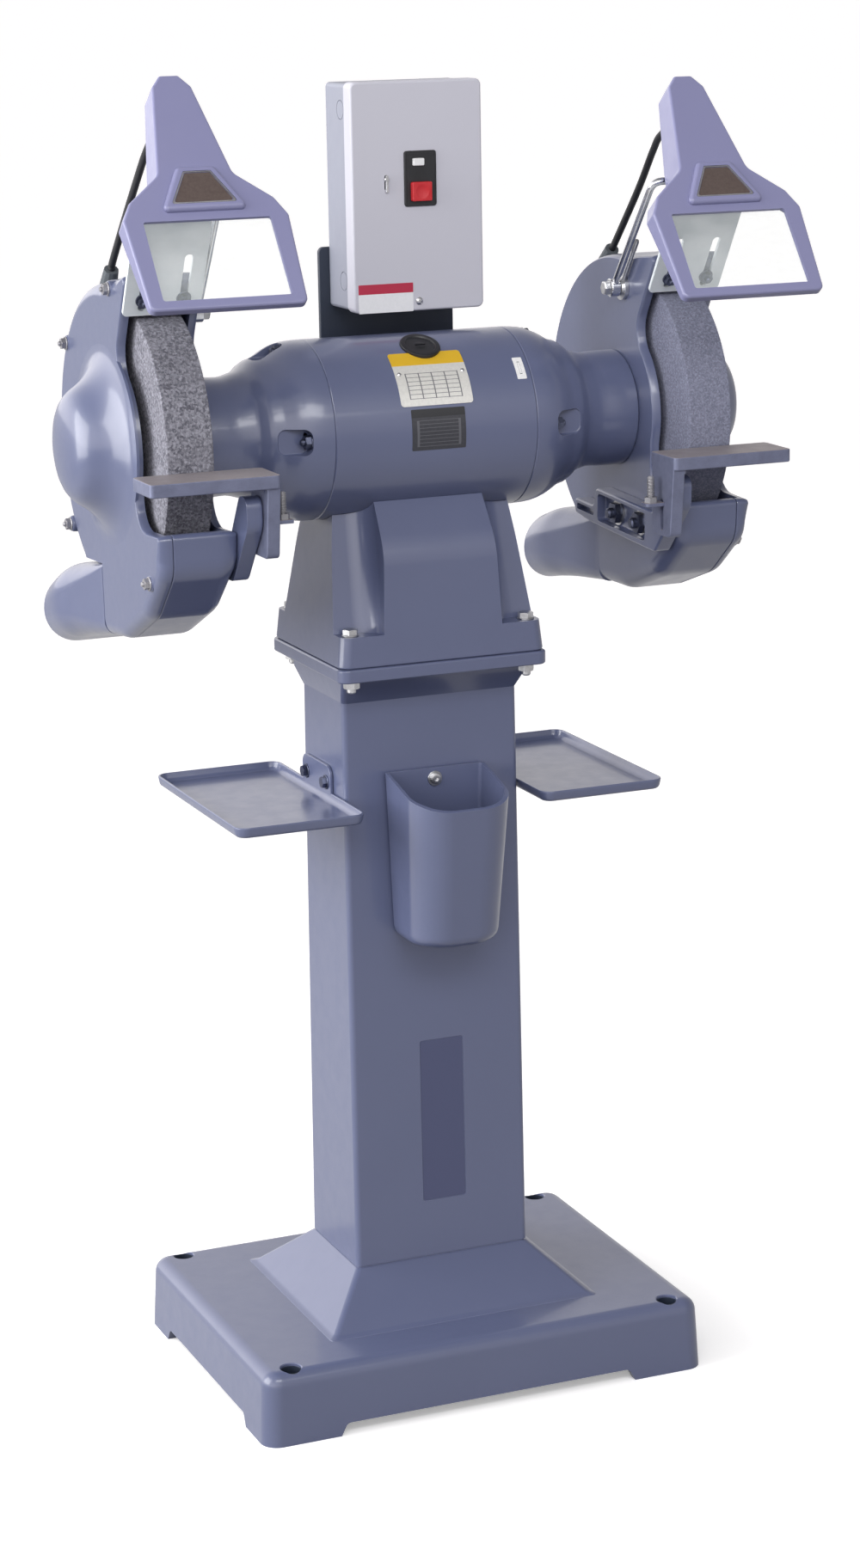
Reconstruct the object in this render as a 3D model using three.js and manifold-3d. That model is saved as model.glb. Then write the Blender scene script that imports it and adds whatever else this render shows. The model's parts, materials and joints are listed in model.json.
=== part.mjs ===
// Pedestal bench grinder with two guarded wheels, lamps, trays, water pot and starter.
// Millimetres. While it is built, x runs along the shaft, y to the back and z up from the floor.
import * as THREE from 'three';
import { mergeVertices } from 'three/addons/utils/BufferGeometryUtils.js';
import Module from 'manifold-3d';

const wasm = await Module();
wasm.setup();

// ---------------------------------------------------------------- driving dimensions

const seat = 0.3; // clearance between pieces that touch
const fitFacets = 14; // sides of a round piece that fits in or on another
const boltFacets = 8; // sides of a bolt and of the hole it passes
const wheelFacets = 30;
const motorFacets = 24; // sides of the motor's frame, its bells and the saddle that holds it

const base = { halfX: 266, halfY: 202, height: 82, corner: 20, edge: 12, draft: 3, wall: 10 };
const feet = { alongX: 95, alongY: 75, arch: 14 };
const floorBolt = { x: 228, y: 181, radius: 7 };
const skirt = { halfX: 158, halfY: 131, top: 135 };
const column = { bottomX: 104.8, bottomY: 70.4, topX: 103.2, topY: 60.9, top: 786, corner: 6, wall: 8 };
const flange = {
  halfX: 122, halfY: 108, bottom: column.top + 31, top: column.top + 46, corner: 12, neckX: 110, neckY: 80,
};
const shaftZ = flange.top + 245.5; // height of the wheel shaft
const flangeBolt = { x: 103, y: 89, radius: 6, head: 9, headHeight: 7.5 };

const housing = {
  halfX: 120, halfY: 105, corner: 12, skirtTop: flange.top + 34,
  kneeZ: flange.top + 123, kneeX: 108, kneeY: 97,
};
const housingTop = { z: flange.top + 172, halfX: 101, halfY: 65 };
const groove = { innerX: 69, bottomY: 75, topY: 40, radius: 26, topInnerX: 62 };

const motor = { radius: 97.3, wall: 11, seam: 116.4, neck: 64, end: 254.2 };
const stator = { outer: 85, halfLength: 55, coil: 22 };
const rotorCore = { radius: 52 };
const bearing = { outer: 26, width: 16, from: 226 };
const shaft = { core: 22, journal: 17, wheel: 15.9, end: 362, step: 265 };
const plug = { radius: 22, x: 3, angle: 64, recess: 4, proud: 2.5 };
const pocket = { x: 155, length: 35, width: 28, floor: 78 };

const wheel = { radius: 152.4, width: 50.8, centre: 297 };
const wheelFlange = { radius: 58, hub: 30, inner: 6.2, outer: 9 };
const nut = { radius: 21, length: 19 };

const guard = { inner: 254.5, seam: 325, outer: 340, wall: 9.5, rim: 9, back: 169, turn: 2.6 };
const mouth = { angle: 60, offset: 4.4, top: 207.6, inner: 98, wallFrom: 158 };
const lip = { y: -165, z: -80, fillet: 30, sideY: -95 };
const belly = { frontZ: -126, bottomY: -20, bottomZ: -202, endZ: -207.5 };
const cover = { round: 14, dome: 100, domeTop: 390, domeWall: 8 };
const spout = { from: 36, straight: 150, end: 192, halfEnd: 65, wall: 7, topZ: -130, endTop: -158 };
const spoutEnd = { bottomZ: -236, midTop: -144, midBottom: -226, radius: 38 };

const spark = {
  width: 84, thickness: 4, from: 159, length: 110, slotAt: 22, slotIn: 6, slotWidth: 9, slotLength: 65,
};
const rest = { from: 222, to: 362, thickness: 14, front: -225, back: -155.5, leg: 14, legDrop: 88 };
const restLeg = { front: -203, back: -160 };
const bracket = { from: 236.3, back: 93, front: -120, bottom: -140.5, top: -94.5, depth: 10 };
const bracketPad = { front: -185, top: -65.5 };

const plate = {
  y: housing.halfY + seat, thickness: 6, left: -54, right: 105, bottom: flange.top + 6, top: shaftZ + 184.5,
};
const starter = {
  left: -44, right: 109, front: 27, back: 105, bottom: shaftZ + 117.5, top: shaftZ + 364.5, wall: 2,
};
const starterLid = { depth: 20, wall: 1.6, corner: 7 };
const buttons = {
  left: 16.5, right: 54, z: THREE.MathUtils.lerp(starter.bottom, starter.top, 0.578), halfZ: 29.75, travel: 4,
};
const startKey = { x: 32.5, z: buttons.z + 17.7, halfX: 6.5, halfZ: 4, proud: 3 };
const stopKey = { x: 35, z: buttons.z - 13.8, halfX: 11.4, halfZ: 10.2, proud: 6 };
const contactor = { sideRoom: 12, below: 16, above: 5, stepDepth: 16, stepHeight: 15 };

const tray = {
  from: column.topX + 0.8, to: base.halfX - 14, front: -131, back: 147, rim: column.top - 107.5,
  depth: 12, wall: 2.5, corner: 14,
};
const trayTab = { centre: 14.5, halfY: 43, top: tray.rim + 29.5, thickness: 3.2 };
const pot = {
  halfX: 59, back: -65.4, front: -172, bottom: column.top - 264, top: column.top - 74, wall: 3.5, centre: 1,
};
const potFoot = { halfX: 47, front: -112 };
const potRim = { backZ: pot.top - 7, frontZ: pot.top - 38 };

const lampTilt = 37.7;
const lampWindow = { halfU: 67, halfV: 45.8, wall: 3.5 };
const lampFrame = { bottomU: 82, bottomV: -56, sideU: 87, sideV: 48, shoulderU: 76, shoulderV: 69 };
const lampHood = { lowU: 36, lowV: 104, highU: 21, highV: 205, top: 219, depth: 40, topDepth: 22 };
const lampSkirt = { bottom: 9, top: 20 };
const lampNose = { lowU: 42, lowV: 58, proud: 7 };
const lampRod = { radius: 4, x: 242, boss: 8.5, bossFrom: 27, bossTo: 14, v: 117, w: 46 };
const lampPivot = { y: -25, z: shaftZ + 135.5, hub: 10 };
const lampBulb = { radius: 10.5, from: 106, to: 202, w: 15 };
const cable = { radius: 4, x: 297 };
const gland = { radius: 8, foot: 10, length: 26 };
const coverBoss = { radius: 9, proud: 1 };
const coverBosses = [[121.5, 100.2], [-39.8, 164.9], [140.8, -97.8], [-129.2, -132.2]];

const sides = [
  { name: 'left', sign: -1, restTop: shaftZ - 11.5, lamp: [287, -227, shaftZ + 210.5] },
  { name: 'right', sign: 1, restTop: shaftZ - 27.5, lamp: [290.4, -231.5, shaftZ + 192] },
];
// Places [y, height above the shaft] that each cable passes, from its gland to its hood.
const cableRoutes = {
  left: [[92, 174.5], [85, 184.5], [38.6, 230.5], [-8, 274.5], [-41.7, 304.5], [-70, 322.5], [-91, 327]],
  right: [[92, 166.5], [80, 178.5], [23, 238.5], [-12, 280.5], [-31, 298.5], [-66, 310.5], [-95, 308.5]],
};

const finish = {
  paint: [0x68718f, 0.5, 0.1],
  lampPaint: [0x8c8eb6, 0.45, 0.1],
  boxPaint: [0xbec2d0, 0.5, 0.1],
  bracketPaint: [0x1c2433, 0.5, 0.1],
  steel: [0xb9bcc2, 0.3, 0.9],
  darkSteel: [0x6d6660, 0.45, 0.8],
  chrome: [0xd8dadd, 0.12, 1],
  stone: [0x6f6f74, 0.95, 0],
  copper: [0xa8632f, 0.4, 0.8],
  black: [0x15161a, 0.5, 0],
  white: [0xe9e9e9, 0.4, 0],
  red: [0xc42a2f, 0.4, 0],
  glass: [0xdcebe8, 0.05, 0],
};

// ---------------------------------------------------------------- geometry helpers

const radians = THREE.MathUtils.degToRad;
const corners = [[-1, -1], [1, -1], [1, 1], [-1, 1]];

/** A closed three.js geometry as a solid with its faces outward. */
function solidOf(geometry) {
  const bare = geometry.clone();
  const unused = Object.keys(bare.attributes).filter((name) => name !== 'position');
  unused.forEach((name) => bare.deleteAttribute(name));
  const merged = mergeVertices(bare, 1e-4);
  const places = merged.attributes.position;
  const kept = [];
  for (let at = 0; at < merged.index.count; at += 3) {
    const [a, b, c] = [0, 1, 2].map((step) => merged.index.getX(at + step));
    if (a !== b && b !== c && c !== a) kept.push([a, b, c]);
  }
  const corner = (index) => new THREE.Vector3().fromBufferAttribute(places, index);
  const volume = kept.reduce((sum, [a, b, c]) => sum + corner(a).dot(corner(b).cross(corner(c))), 0);
  const triangles = volume < 0 ? kept.map(([a, b, c]) => [a, c, b]) : kept;
  return new wasm.Manifold(new wasm.Mesh({
    numProp: 3,
    vertProperties: Float32Array.from(places.array),
    triVerts: Uint32Array.from(triangles.flat()),
  }));
}

/** A solid back as a three.js geometry. */
function geometryOf(solid) {
  const mesh = solid.getMesh();
  const geometry = new THREE.BufferGeometry();
  geometry.setAttribute('position', new THREE.BufferAttribute(mesh.vertProperties, 3));
  geometry.setIndex(new THREE.BufferAttribute(mesh.triVerts, 1));
  geometry.computeVertexNormals();
  return geometry;
}

const join = (first, ...others) => others.reduce((sum, other) => sum.add(other), first);
const cut = (first, ...others) => others.reduce((rest, other) => rest.subtract(other), first);

/** Corner entries along an arc, angles in degrees. */
function arc(centreA, centreB, radius, from, to, steps) {
  return Array.from({ length: steps + 1 }, (_, step) => {
    const angle = radians(from + ((to - from) * step) / steps);
    return [centreA + radius * Math.cos(angle), centreB + radius * Math.sin(angle), 0];
  });
}

/** A closed outline through entries [a, b, radius], each radius made as a short arc. */
function outline(entries, steps = 2) {
  return entries.flatMap(([a, b, radius = 0], index) => {
    const corner = new THREE.Vector2(a, b);
    if (radius === 0) return [corner];
    const before = entries[(index + entries.length - 1) % entries.length];
    const after = entries[(index + 1) % entries.length];
    const back = new THREE.Vector2(before[0], before[1]).sub(corner).normalize();
    const ahead = new THREE.Vector2(after[0], after[1]).sub(corner).normalize();
    const half = Math.acos(THREE.MathUtils.clamp(back.dot(ahead), -1, 1)) / 2;
    const middle = back.clone().add(ahead).normalize();
    const centre = corner.clone().addScaledVector(middle, radius / Math.sin(half));
    const start = back.clone().multiplyScalar(radius / Math.tan(half)).add(corner).sub(centre);
    const turn = Math.PI - 2 * half;
    const sweep = back.cross(ahead) < 0 ? turn : -turn;
    return Array.from({ length: steps + 1 }, (_, step) => (
      start.clone().rotateAround(new THREE.Vector2(), (sweep * step) / steps).add(centre)
    ));
  });
}

/** A rounded rectangle about a centre. */
function rectangle(centreA, centreB, halfA, halfB, radius = 0, steps = 2) {
  const round = Math.min(radius, 0.98 * halfA, 0.98 * halfB);
  return outline(corners.map(([a, b]) => [centreA + a * halfA, centreB + b * halfB, round]), steps);
}

const circle = (a, b, radius, steps = 24) => (
  arc(a, b, radius, 0, 360 - 360 / steps, steps - 1).map(([x, y]) => new THREE.Vector2(x, y))
);

/** Outline points moved inward, each by its own share of a distance. */
function inset(points, distance, shares) {
  const side = THREE.ShapeUtils.isClockWise(points) ? -1 : 1;
  return points.map((point, index) => {
    const before = points[(index + points.length - 1) % points.length];
    const after = points[(index + 1) % points.length];
    const into = point.clone().sub(before).normalize();
    const away = after.clone().sub(point).normalize();
    const normal = new THREE.Vector2(-into.y - away.y, into.x + away.x).normalize();
    const stretch = 1 / Math.max(normal.dot(new THREE.Vector2(-into.y, into.x)), 0.5);
    const share = shares ? shares[index] : 1;
    return point.clone().addScaledVector(normal, side * distance * share * stretch);
  });
}

const placed = {
  x: (a, b, at) => [at, a, b],
  y: (a, b, at) => [a, at, b],
  z: (a, b, at) => [a, b, at],
};

/** A solid skinned over outlines of one count of points, stacked along an axis. */
function layered(axis, levels) {
  const turned = THREE.ShapeUtils.isClockWise(levels[0].points);
  const rings = levels.map(({ points }) => (turned ? [...points].reverse() : points));
  const count = rings[0].length;
  const positions = rings.flatMap((ring, level) => (
    ring.flatMap((point) => placed[axis](point.x, point.y, levels[level].at))
  ));
  const faces = [];
  for (let level = 1; level < rings.length; level += 1) {
    for (let near = 0; near < count; near += 1) {
      const far = (near + 1) % count;
      const low = (level - 1) * count;
      const high = level * count;
      faces.push(low + near, low + far, high + far, low + near, high + far, high + near);
    }
  }
  const last = (rings.length - 1) * count;
  const bottomCap = THREE.ShapeUtils.triangulateShape(rings[0], []);
  const topCap = THREE.ShapeUtils.triangulateShape(rings[rings.length - 1], []);
  bottomCap.forEach(([a, b, c]) => faces.push(a, c, b));
  topCap.forEach(([a, b, c]) => faces.push(last + a, last + b, last + c));
  const geometry = new THREE.BufferGeometry();
  geometry.setAttribute('position', new THREE.Float32BufferAttribute(positions, 3));
  geometry.setIndex(faces);
  return solidOf(geometry);
}

/** A straight prism of an outline along an axis. */
const prism = (axis, points, from, to) => layered(axis, [{ at: from, points }, { at: to, points }]);

/** Levels that round an outline's edge at one end, from the end face inward. */
function edgeLevels(points, at, radius, direction, shares, steps = 3) {
  return Array.from({ length: steps + 1 }, (_, step) => {
    const angle = radians((90 * step) / steps);
    return {
      at: at + direction * radius * (1 - Math.cos(angle)),
      points: inset(points, radius * (1 - Math.sin(angle)), shares),
    };
  });
}

/** A prism with its edge rounded at the ends that are given a radius. */
function rounded(axis, points, from, to, edges, steps = 2) {
  const direction = Math.sign(to - from);
  const end = (at, radius, inward) => (
    radius ? edgeLevels(points, at, radius, inward, null, steps) : [{ at, points }]
  );
  return layered(axis, [...end(from, edges.from, direction), ...end(to, edges.to, -direction).reverse()]);
}

/** A block between two opposite corners. */
function block([x0, y0, z0], [x1, y1, z1]) {
  const geometry = new THREE.BoxGeometry(Math.abs(x1 - x0), Math.abs(y1 - y0), Math.abs(z1 - z0));
  return solidOf(geometry.translate((x0 + x1) / 2, (y0 + y1) / 2, (z0 + z1) / 2));
}

/** A turned piece from a profile [along, radius], about an axis through a point. */
function turned(axis, profile, [x, y, z] = [0, 0, 0], segments = 36) {
  const closed = profile[0][1] > 0 ? [...profile, profile[0]] : profile;
  const points = closed.map(([along, radius]) => new THREE.Vector2(radius, along));
  const geometry = new THREE.LatheGeometry(points, segments);
  if (axis === 'x') geometry.rotateZ(-Math.PI / 2);
  if (axis === 'z') geometry.rotateX(Math.PI / 2);
  return solidOf(geometry.translate(x, y, z));
}

/** A plain cylinder along an axis. */
const cylinder = (axis, from, to, radius, at, segments = 20) => (
  turned(axis, [[from, 0], [from, radius], [to, radius], [to, 0]], at, segments)
);

/** A hollow cylinder along an axis. */
const tube = (axis, from, to, outer, inner, at, segments = 36) => (
  turned(axis, [[from, inner], [from, outer], [to, outer], [to, inner]], at, segments)
);

/** A round rod along a curve. */
function rod(curve, radius, sections, steps) {
  const shape = new THREE.Shape(circle(0, 0, radius, sections));
  return new THREE.ExtrudeGeometry(shape, { steps, bevelEnabled: false, extrudePath: curve });
}

const machine = new THREE.Group();

/** Add one named piece with its own material to a group. */
function add(parent, name, solid, [color, roughness, metalness]) {
  const geometry = solid.isBufferGeometry ? solid : geometryOf(solid);
  const piece = new THREE.Mesh(geometry, new THREE.MeshStandardMaterial({ color, roughness, metalness }));
  piece.name = name;
  parent.add(piece);
}

// ---------------------------------------------------------------- pedestal

/** Half sizes of the column at a height. */
function columnAt(z) {
  const share = (z - skirt.top) / (column.top - skirt.top);
  return {
    x: THREE.MathUtils.lerp(column.bottomX, column.topX, share),
    y: THREE.MathUtils.lerp(column.bottomY, column.topY, share),
  };
}

/** Cast pedestal: base on corner feet, pyramid skirt, tapered column and top flange, open below. */
function makePedestal() {
  const footprint = (shrink, radius) => rectangle(0, 0, base.halfX - shrink, base.halfY - shrink, radius);
  const foot = { at: 0, points: footprint(0, base.corner) };
  const edge = edgeLevels(footprint(base.draft, base.corner), base.height, base.edge, -1, null, 2);
  const slab = layered('z', [foot, ...edge.reverse()]);
  const square = (at, halfX, halfY) => ({ at, points: rectangle(0, 0, halfX, halfY, column.corner, 1) });
  const stem = layered('z', [
    square(base.height - 5, skirt.halfX + 6, skirt.halfY + 6),
    square(base.height + 1, skirt.halfX, skirt.halfY),
    square(skirt.top - 4, column.bottomX + 3, column.bottomY + 3),
    square(skirt.top + 6, column.bottomX, column.bottomY),
    square(column.top, column.topX, column.topY),
    square(flange.bottom + 1, flange.neckX, flange.neckY),
  ]);
  const topPlan = rectangle(0, 0, flange.halfX, flange.halfY, flange.corner);
  const top = rounded('z', topPlan, flange.bottom, flange.top, { from: 2, to: 2 }, 1);
  const hollow = column.wall;
  const under = prism('z', rectangle(0, 0, base.halfX - base.wall, base.halfY - base.wall, base.corner / 2),
    -1, base.height - base.wall);
  const bore = layered('z', [
    square(base.height - base.wall - 1, skirt.halfX - hollow - 10, skirt.halfY - hollow - 10),
    square(skirt.top, column.bottomX - hollow, column.bottomY - hollow),
    square(column.top, column.topX - hollow, column.topY - hollow),
    square(flange.bottom, column.topX - hollow, column.topY - hollow),
  ]);
  const archX = base.halfX - feet.alongX;
  const archY = base.halfY - feet.alongY;
  const archAcrossX = prism('y', outline([
    [-archX - 8, -1], [archX + 8, -1], [archX, feet.arch, 6], [-archX, feet.arch, 6],
  ]), -base.halfY - 1, base.halfY + 1);
  const archAcrossY = prism('x', outline([
    [-archY - 8, -1], [archY + 8, -1], [archY, feet.arch, 6], [-archY, feet.arch, 6],
  ]), -base.halfX - 1, base.halfX + 1);
  const floorPlaces = corners.map(([x, y]) => [x * floorBolt.x, y * floorBolt.y, 0]);
  const anchors = floorPlaces.map((at) => (
    cylinder('z', -1, base.height + 1, floorBolt.radius, at, boltFacets)
  ));
  const bosses = floorPlaces.map((at) => (
    cylinder('z', 0, base.height - 2, floorBolt.radius + 10, at, boltFacets)
  ));
  const drilled = corners.map(([x, y]) => (
    cylinder('z', flange.bottom - 1, flange.top + 1, flangeBolt.radius + seat,
      [x * flangeBolt.x, y * flangeBolt.y, 0], boltFacets)
  ));
  const shell = cut(join(slab, stem, top), under, bore, archAcrossX, archAcrossY);
  add(machine, 'pedestal', cut(join(shell, ...bosses), ...anchors, ...drilled), finish.paint);
}

/** Bolts through the motor's base housing and the pedestal's flange. */
function makeFlangeBolts() {
  const hexagon = (x, y) => circle(x, y, flangeBolt.head, 6);
  corners.forEach(([sideX, sideY], index) => {
    const x = sideX * flangeBolt.x;
    const y = sideY * flangeBolt.y;
    const headFrom = housing.skirtTop + seat;
    const nutTo = flange.bottom - seat;
    const head = prism('z', hexagon(x, y), headFrom, headFrom + flangeBolt.headHeight);
    const lowNut = prism('z', hexagon(x, y), nutTo - flangeBolt.headHeight, nutTo);
    const shank = cylinder('z', nutTo - 12, headFrom + 1, flangeBolt.radius, [x, y, 0], boltFacets);
    add(machine, `flange_bolt_${index + 1}`, join(head, shank, lowNut), finish.steel);
  });
}

// ---------------------------------------------------------------- motor

/** Tapered cast base of the motor with a round groove at each corner. */
function makeBaseHousing() {
  const square = (at, halfX, halfY) => ({ at, points: rectangle(0, 0, halfX, halfY, housing.corner) });
  const body = layered('z', [
    square(flange.top + seat, housing.halfX - 1, housing.halfY - 1),
    square(flange.top + 4, housing.halfX, housing.halfY),
    square(housing.skirtTop, housing.halfX - 1, housing.halfY - 1),
    square(housing.kneeZ, housing.kneeX, housing.kneeY),
    square(housingTop.z, housingTop.halfX, housingTop.halfY),
    square(housingTop.z + 30, housingTop.halfX - 4, housingTop.halfY - 30),
  ]);
  const slot = (x, y, at, innerX, innerY) => {
    const outerX = housing.halfX + 40;
    const outerY = housing.halfY + 40;
    return {
      at,
      points: outline([
        [x * innerX, y * innerY, groove.radius],
        [x * outerX, y * innerY, 0],
        [x * outerX, y * outerY, 0],
        [x * innerX, y * outerY, 0],
      ], 4),
    };
  };
  const grooves = corners.map(([x, y]) => layered('z', [
    slot(x, y, housing.skirtTop, groove.innerX, groove.bottomY),
    slot(x, y, housingTop.z + 31, groove.topInnerX, groove.topY - 8),
  ]));
  const bore = cylinder('x', -200, 200, motor.radius + seat, [0, 0, shaftZ], motorFacets);
  const holes = corners.map(([x, y]) => (
    cylinder('z', flange.top, housing.skirtTop + 1, flangeBolt.radius + seat,
      [x * flangeBolt.x, y * flangeBolt.y, 0], boltFacets)
  ));
  add(machine, 'base_housing', cut(body, ...grooves, bore, ...holes), finish.paint);
}

/** Corner radius of a faceted bore in which a faceted bar of a corner radius turns freely. */
const runningBore = (radius) => (radius + seat) / Math.cos(Math.PI / fitFacets);

/** Motor frame, end bells, wound stator, bearings and plug, which stand still. */
function makeMotor() {
  const axis = [0, 0, shaftZ];
  const inside = motor.radius - motor.wall;
  const frame = tube('x', -motor.seam, motor.seam, motor.radius, inside, axis, motorFacets);
  const plugAt = radians(plug.angle);
  const outward = new THREE.Vector3(0, -Math.cos(plugAt), Math.sin(plugAt));
  const disc = (radius, from, to) => {
    const geometry = new THREE.CylinderGeometry(radius, radius, to - from, 20);
    geometry.applyQuaternion(new THREE.Quaternion().setFromUnitVectors(new THREE.Vector3(0, 1, 0), outward));
    const centre = outward.clone().multiplyScalar((from + to) / 2);
    return solidOf(geometry.translate(plug.x, centre.y, shaftZ + centre.z));
  };
  const plugFloor = motor.radius - plug.recess;
  const plugHole = disc(plug.radius + seat, plugFloor, motor.radius + 9);
  add(machine, 'motor_frame', cut(frame, plugHole), finish.paint);
  add(machine, 'motor_plug', disc(plug.radius, plugFloor + seat, motor.radius + plug.proud), finish.black);
  const airGap = runningBore(rotorCore.radius);
  add(machine, 'stator_core', turned('x', [
    [-stator.halfLength - stator.coil, airGap + 6],
    [-stator.halfLength - stator.coil, stator.outer - 12],
    [-stator.halfLength, stator.outer - 8],
    [-stator.halfLength, stator.outer],
    [stator.halfLength, stator.outer],
    [stator.halfLength, stator.outer - 8],
    [stator.halfLength + stator.coil, stator.outer - 12],
    [stator.halfLength + stator.coil, airGap + 6],
    [stator.halfLength, airGap],
    [-stator.halfLength, airGap],
  ], axis, fitFacets), finish.copper);
  const bore = bearing.outer + seat;
  const bearingTo = bearing.from + bearing.width;
  const bell = [
    [motor.seam + seat, inside], [motor.seam + seat, motor.radius], [135, 96.2], [150, 92.4],
    [170, 81.4], [193, 67.4], [210, 62.5], [222, motor.neck], [motor.end, motor.neck],
    [motor.end, shaft.journal + 6], [bearingTo + seat, shaft.journal + 6],
    [bearingTo + seat, bore], [bearing.from - 7, bore], [155, 76],
  ];
  sides.forEach(({ name, sign }) => {
    const shell = turned('x', bell.map(([x, radius]) => [sign * x, radius]), axis, motorFacets);
    const pockets = [0, 90, 180, 270].map((angle) => {
      const geometry = new THREE.BoxGeometry(pocket.length, pocket.width, 60);
      geometry.translate(sign * (pocket.x + 4), 0, pocket.floor + 30);
      return solidOf(geometry.rotateX(radians(angle)).translate(0, 0, shaftZ));
    });
    add(machine, `${name}_end_bell`, cut(shell, ...pockets), finish.paint);
    add(machine, `${name}_bearing`, tube('x', sign * bearing.from, sign * bearingTo, bearing.outer,
      runningBore(shaft.journal), axis, fitFacets), finish.steel);
  });
}

/** Shaft, rotor core, wheels, flanges and nuts, which turn together. */
function makeRotor() {
  const axis = [0, 0, shaftZ];
  const half = [
    [shaft.end, 0], [shaft.end, shaft.wheel - 1], [shaft.end - 1, shaft.wheel], [shaft.step, shaft.wheel],
    [shaft.step, shaft.journal], [bearing.from - 6, shaft.journal], [bearing.from - 6, shaft.core],
  ];
  const other = half.map(([x, radius]) => [-x, radius]).reverse();
  add(machine, 'shaft', turned('x', [...half, ...other], axis, fitFacets), finish.steel);
  add(machine, 'rotor_core', tube('x', -stator.halfLength, stator.halfLength, rotorCore.radius,
    shaft.core + seat, axis, fitFacets), finish.darkSteel);
  const bore = shaft.wheel + seat;
  const near = wheel.centre - wheel.width / 2;
  const far = wheel.centre + wheel.width / 2;
  const nearFlange = near - seat;
  const farFlange = far + seat;
  sides.forEach(({ name, sign }) => {
    const ring = (profile, segments) => turned('x', profile.map(([x, r]) => [sign * x, r]), axis, segments);
    add(machine, `${name}_wheel`, ring([
      [near, bore], [near, wheel.radius - 1.5], [near + 1.5, wheel.radius],
      [far - 1.5, wheel.radius], [far, wheel.radius - 1.5], [far, bore],
    ], wheelFacets), finish.stone);
    add(machine, `${name}_inner_flange`, ring([
      [nearFlange, bore], [nearFlange, wheelFlange.radius], [nearFlange - 3, wheelFlange.radius],
      [nearFlange - wheelFlange.inner, wheelFlange.hub], [nearFlange - wheelFlange.inner, bore],
    ], fitFacets), finish.darkSteel);
    add(machine, `${name}_outer_flange`, ring([
      [farFlange, bore], [farFlange, wheelFlange.radius], [farFlange + 4, wheelFlange.radius],
      [farFlange + wheelFlange.outer, wheelFlange.hub], [farFlange + wheelFlange.outer, bore],
    ], fitFacets), finish.darkSteel);
    const nutFrom = farFlange + wheelFlange.outer + seat;
    const nutTo = nutFrom + nut.length;
    const blank = prism('x', circle(0, shaftZ, nut.radius, 6), sign * nutFrom, sign * nutTo);
    const thread = cylinder('x', sign * (nutFrom - 1), sign * (nutTo + 1), bore, axis, fitFacets);
    add(machine, `${name}_spindle_nut`, cut(blank, thread), finish.steel);
  });
}

// ---------------------------------------------------------------- wheel guards

/** A point along the guard's mouth: distance out from the shaft and distance behind the mouth's line. */
function atMouth(out, behind) {
  const angle = radians(mouth.angle);
  return [
    -out * Math.cos(angle) + behind * Math.sin(angle),
    out * Math.sin(angle) + behind * Math.cos(angle),
  ];
}

/** Guard outline in (y, z) about the shaft: corners [y, z, radius, share of the edge round]. */
function guardCorners() {
  const rim = [
    [...atMouth(mouth.top, mouth.offset), 8, 0.3],
    [-60, 177.2, 0, 0.8],
    ...arc(0, 0, guard.back, 93, -51, 12).map((entry) => [...entry, 1]),
  ];
  const under = [
    [spout.from + 1, belly.endZ, 0, 1],
    [belly.bottomY, belly.bottomZ, 60, 1],
    [lip.y + 2, belly.frontZ, 26, 0.8],
    [lip.y, lip.z, 6, 0.2],
  ];
  const front = [
    [lip.sideY, lip.z, lip.fillet, 0.2],
    ...arc(0, 0, mouth.inner, 195, 119, 5).map((entry) => [...entry, 0.2]),
    [...atMouth(mouth.inner, mouth.offset), 0, 0.2],
  ];
  return [...rim, ...under, ...front];
}

/** Outline points of a guard with the share of edge rounding at each point. */
function guardOutline() {
  const entries = guardCorners();
  const steps = 2;
  const points = outline(entries, steps);
  const shares = entries.flatMap(([, , radius, share]) => Array(radius === 0 ? 1 : steps + 1).fill(share));
  return { points, shares };
}

/** Inside of the guard in (y, z): follows the rim's inner face and runs out past the open front. */
function guardHollow() {
  const inner = guard.back - guard.rim;
  const wallBehind = mouth.offset + guard.rim;
  return outline([
    ...arc(0, 0, inner, 93, -48, 10),
    [92, spout.topZ - spout.wall],
    [spout.from + 1, belly.endZ + guard.rim],
    [belly.bottomY + 3, belly.bottomZ + guard.rim, 52],
    [lip.y + 2 + guard.rim, belly.frontZ + 5, 18],
    [lip.y + guard.rim, lip.z],
    [lip.y + guard.rim, lip.z + 20],
    [lip.y - 5, 90],
    atMouth(mouth.wallFrom, -40),
    atMouth(mouth.wallFrom, wallBehind),
    [...atMouth(mouth.top - 18, wallBehind), 4],
  ]);
}

/** Sections of the exhaust spout, moved inward by a wall, between two ends. */
function spoutSolid(sign, wall, from, to) {
  const centre = (guard.inner + guard.outer) / 2;
  const half = (guard.outer - guard.inner) / 2;
  const section = (at, width, bottomZ, topZ, radius) => ({
    at,
    points: rectangle(sign * centre, (bottomZ + topZ) / 2, width - wall, (topZ - bottomZ) / 2 - wall,
      radius - wall * 0.7),
  });
  return layered('y', [
    section(from, half, belly.endZ, spout.topZ, 14),
    section(spout.from + 34, half + 6, belly.endZ - 5, spout.topZ - 4, 20),
    section((spout.from + spout.straight) / 2 + 20, spout.halfEnd - 8, -219, -138, 28),
    section(spout.straight, spout.halfEnd, spoutEnd.midBottom, spoutEnd.midTop, 34),
    section(to, spout.halfEnd, spoutEnd.bottomZ, spout.endTop, spoutEnd.radius),
  ]);
}

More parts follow.
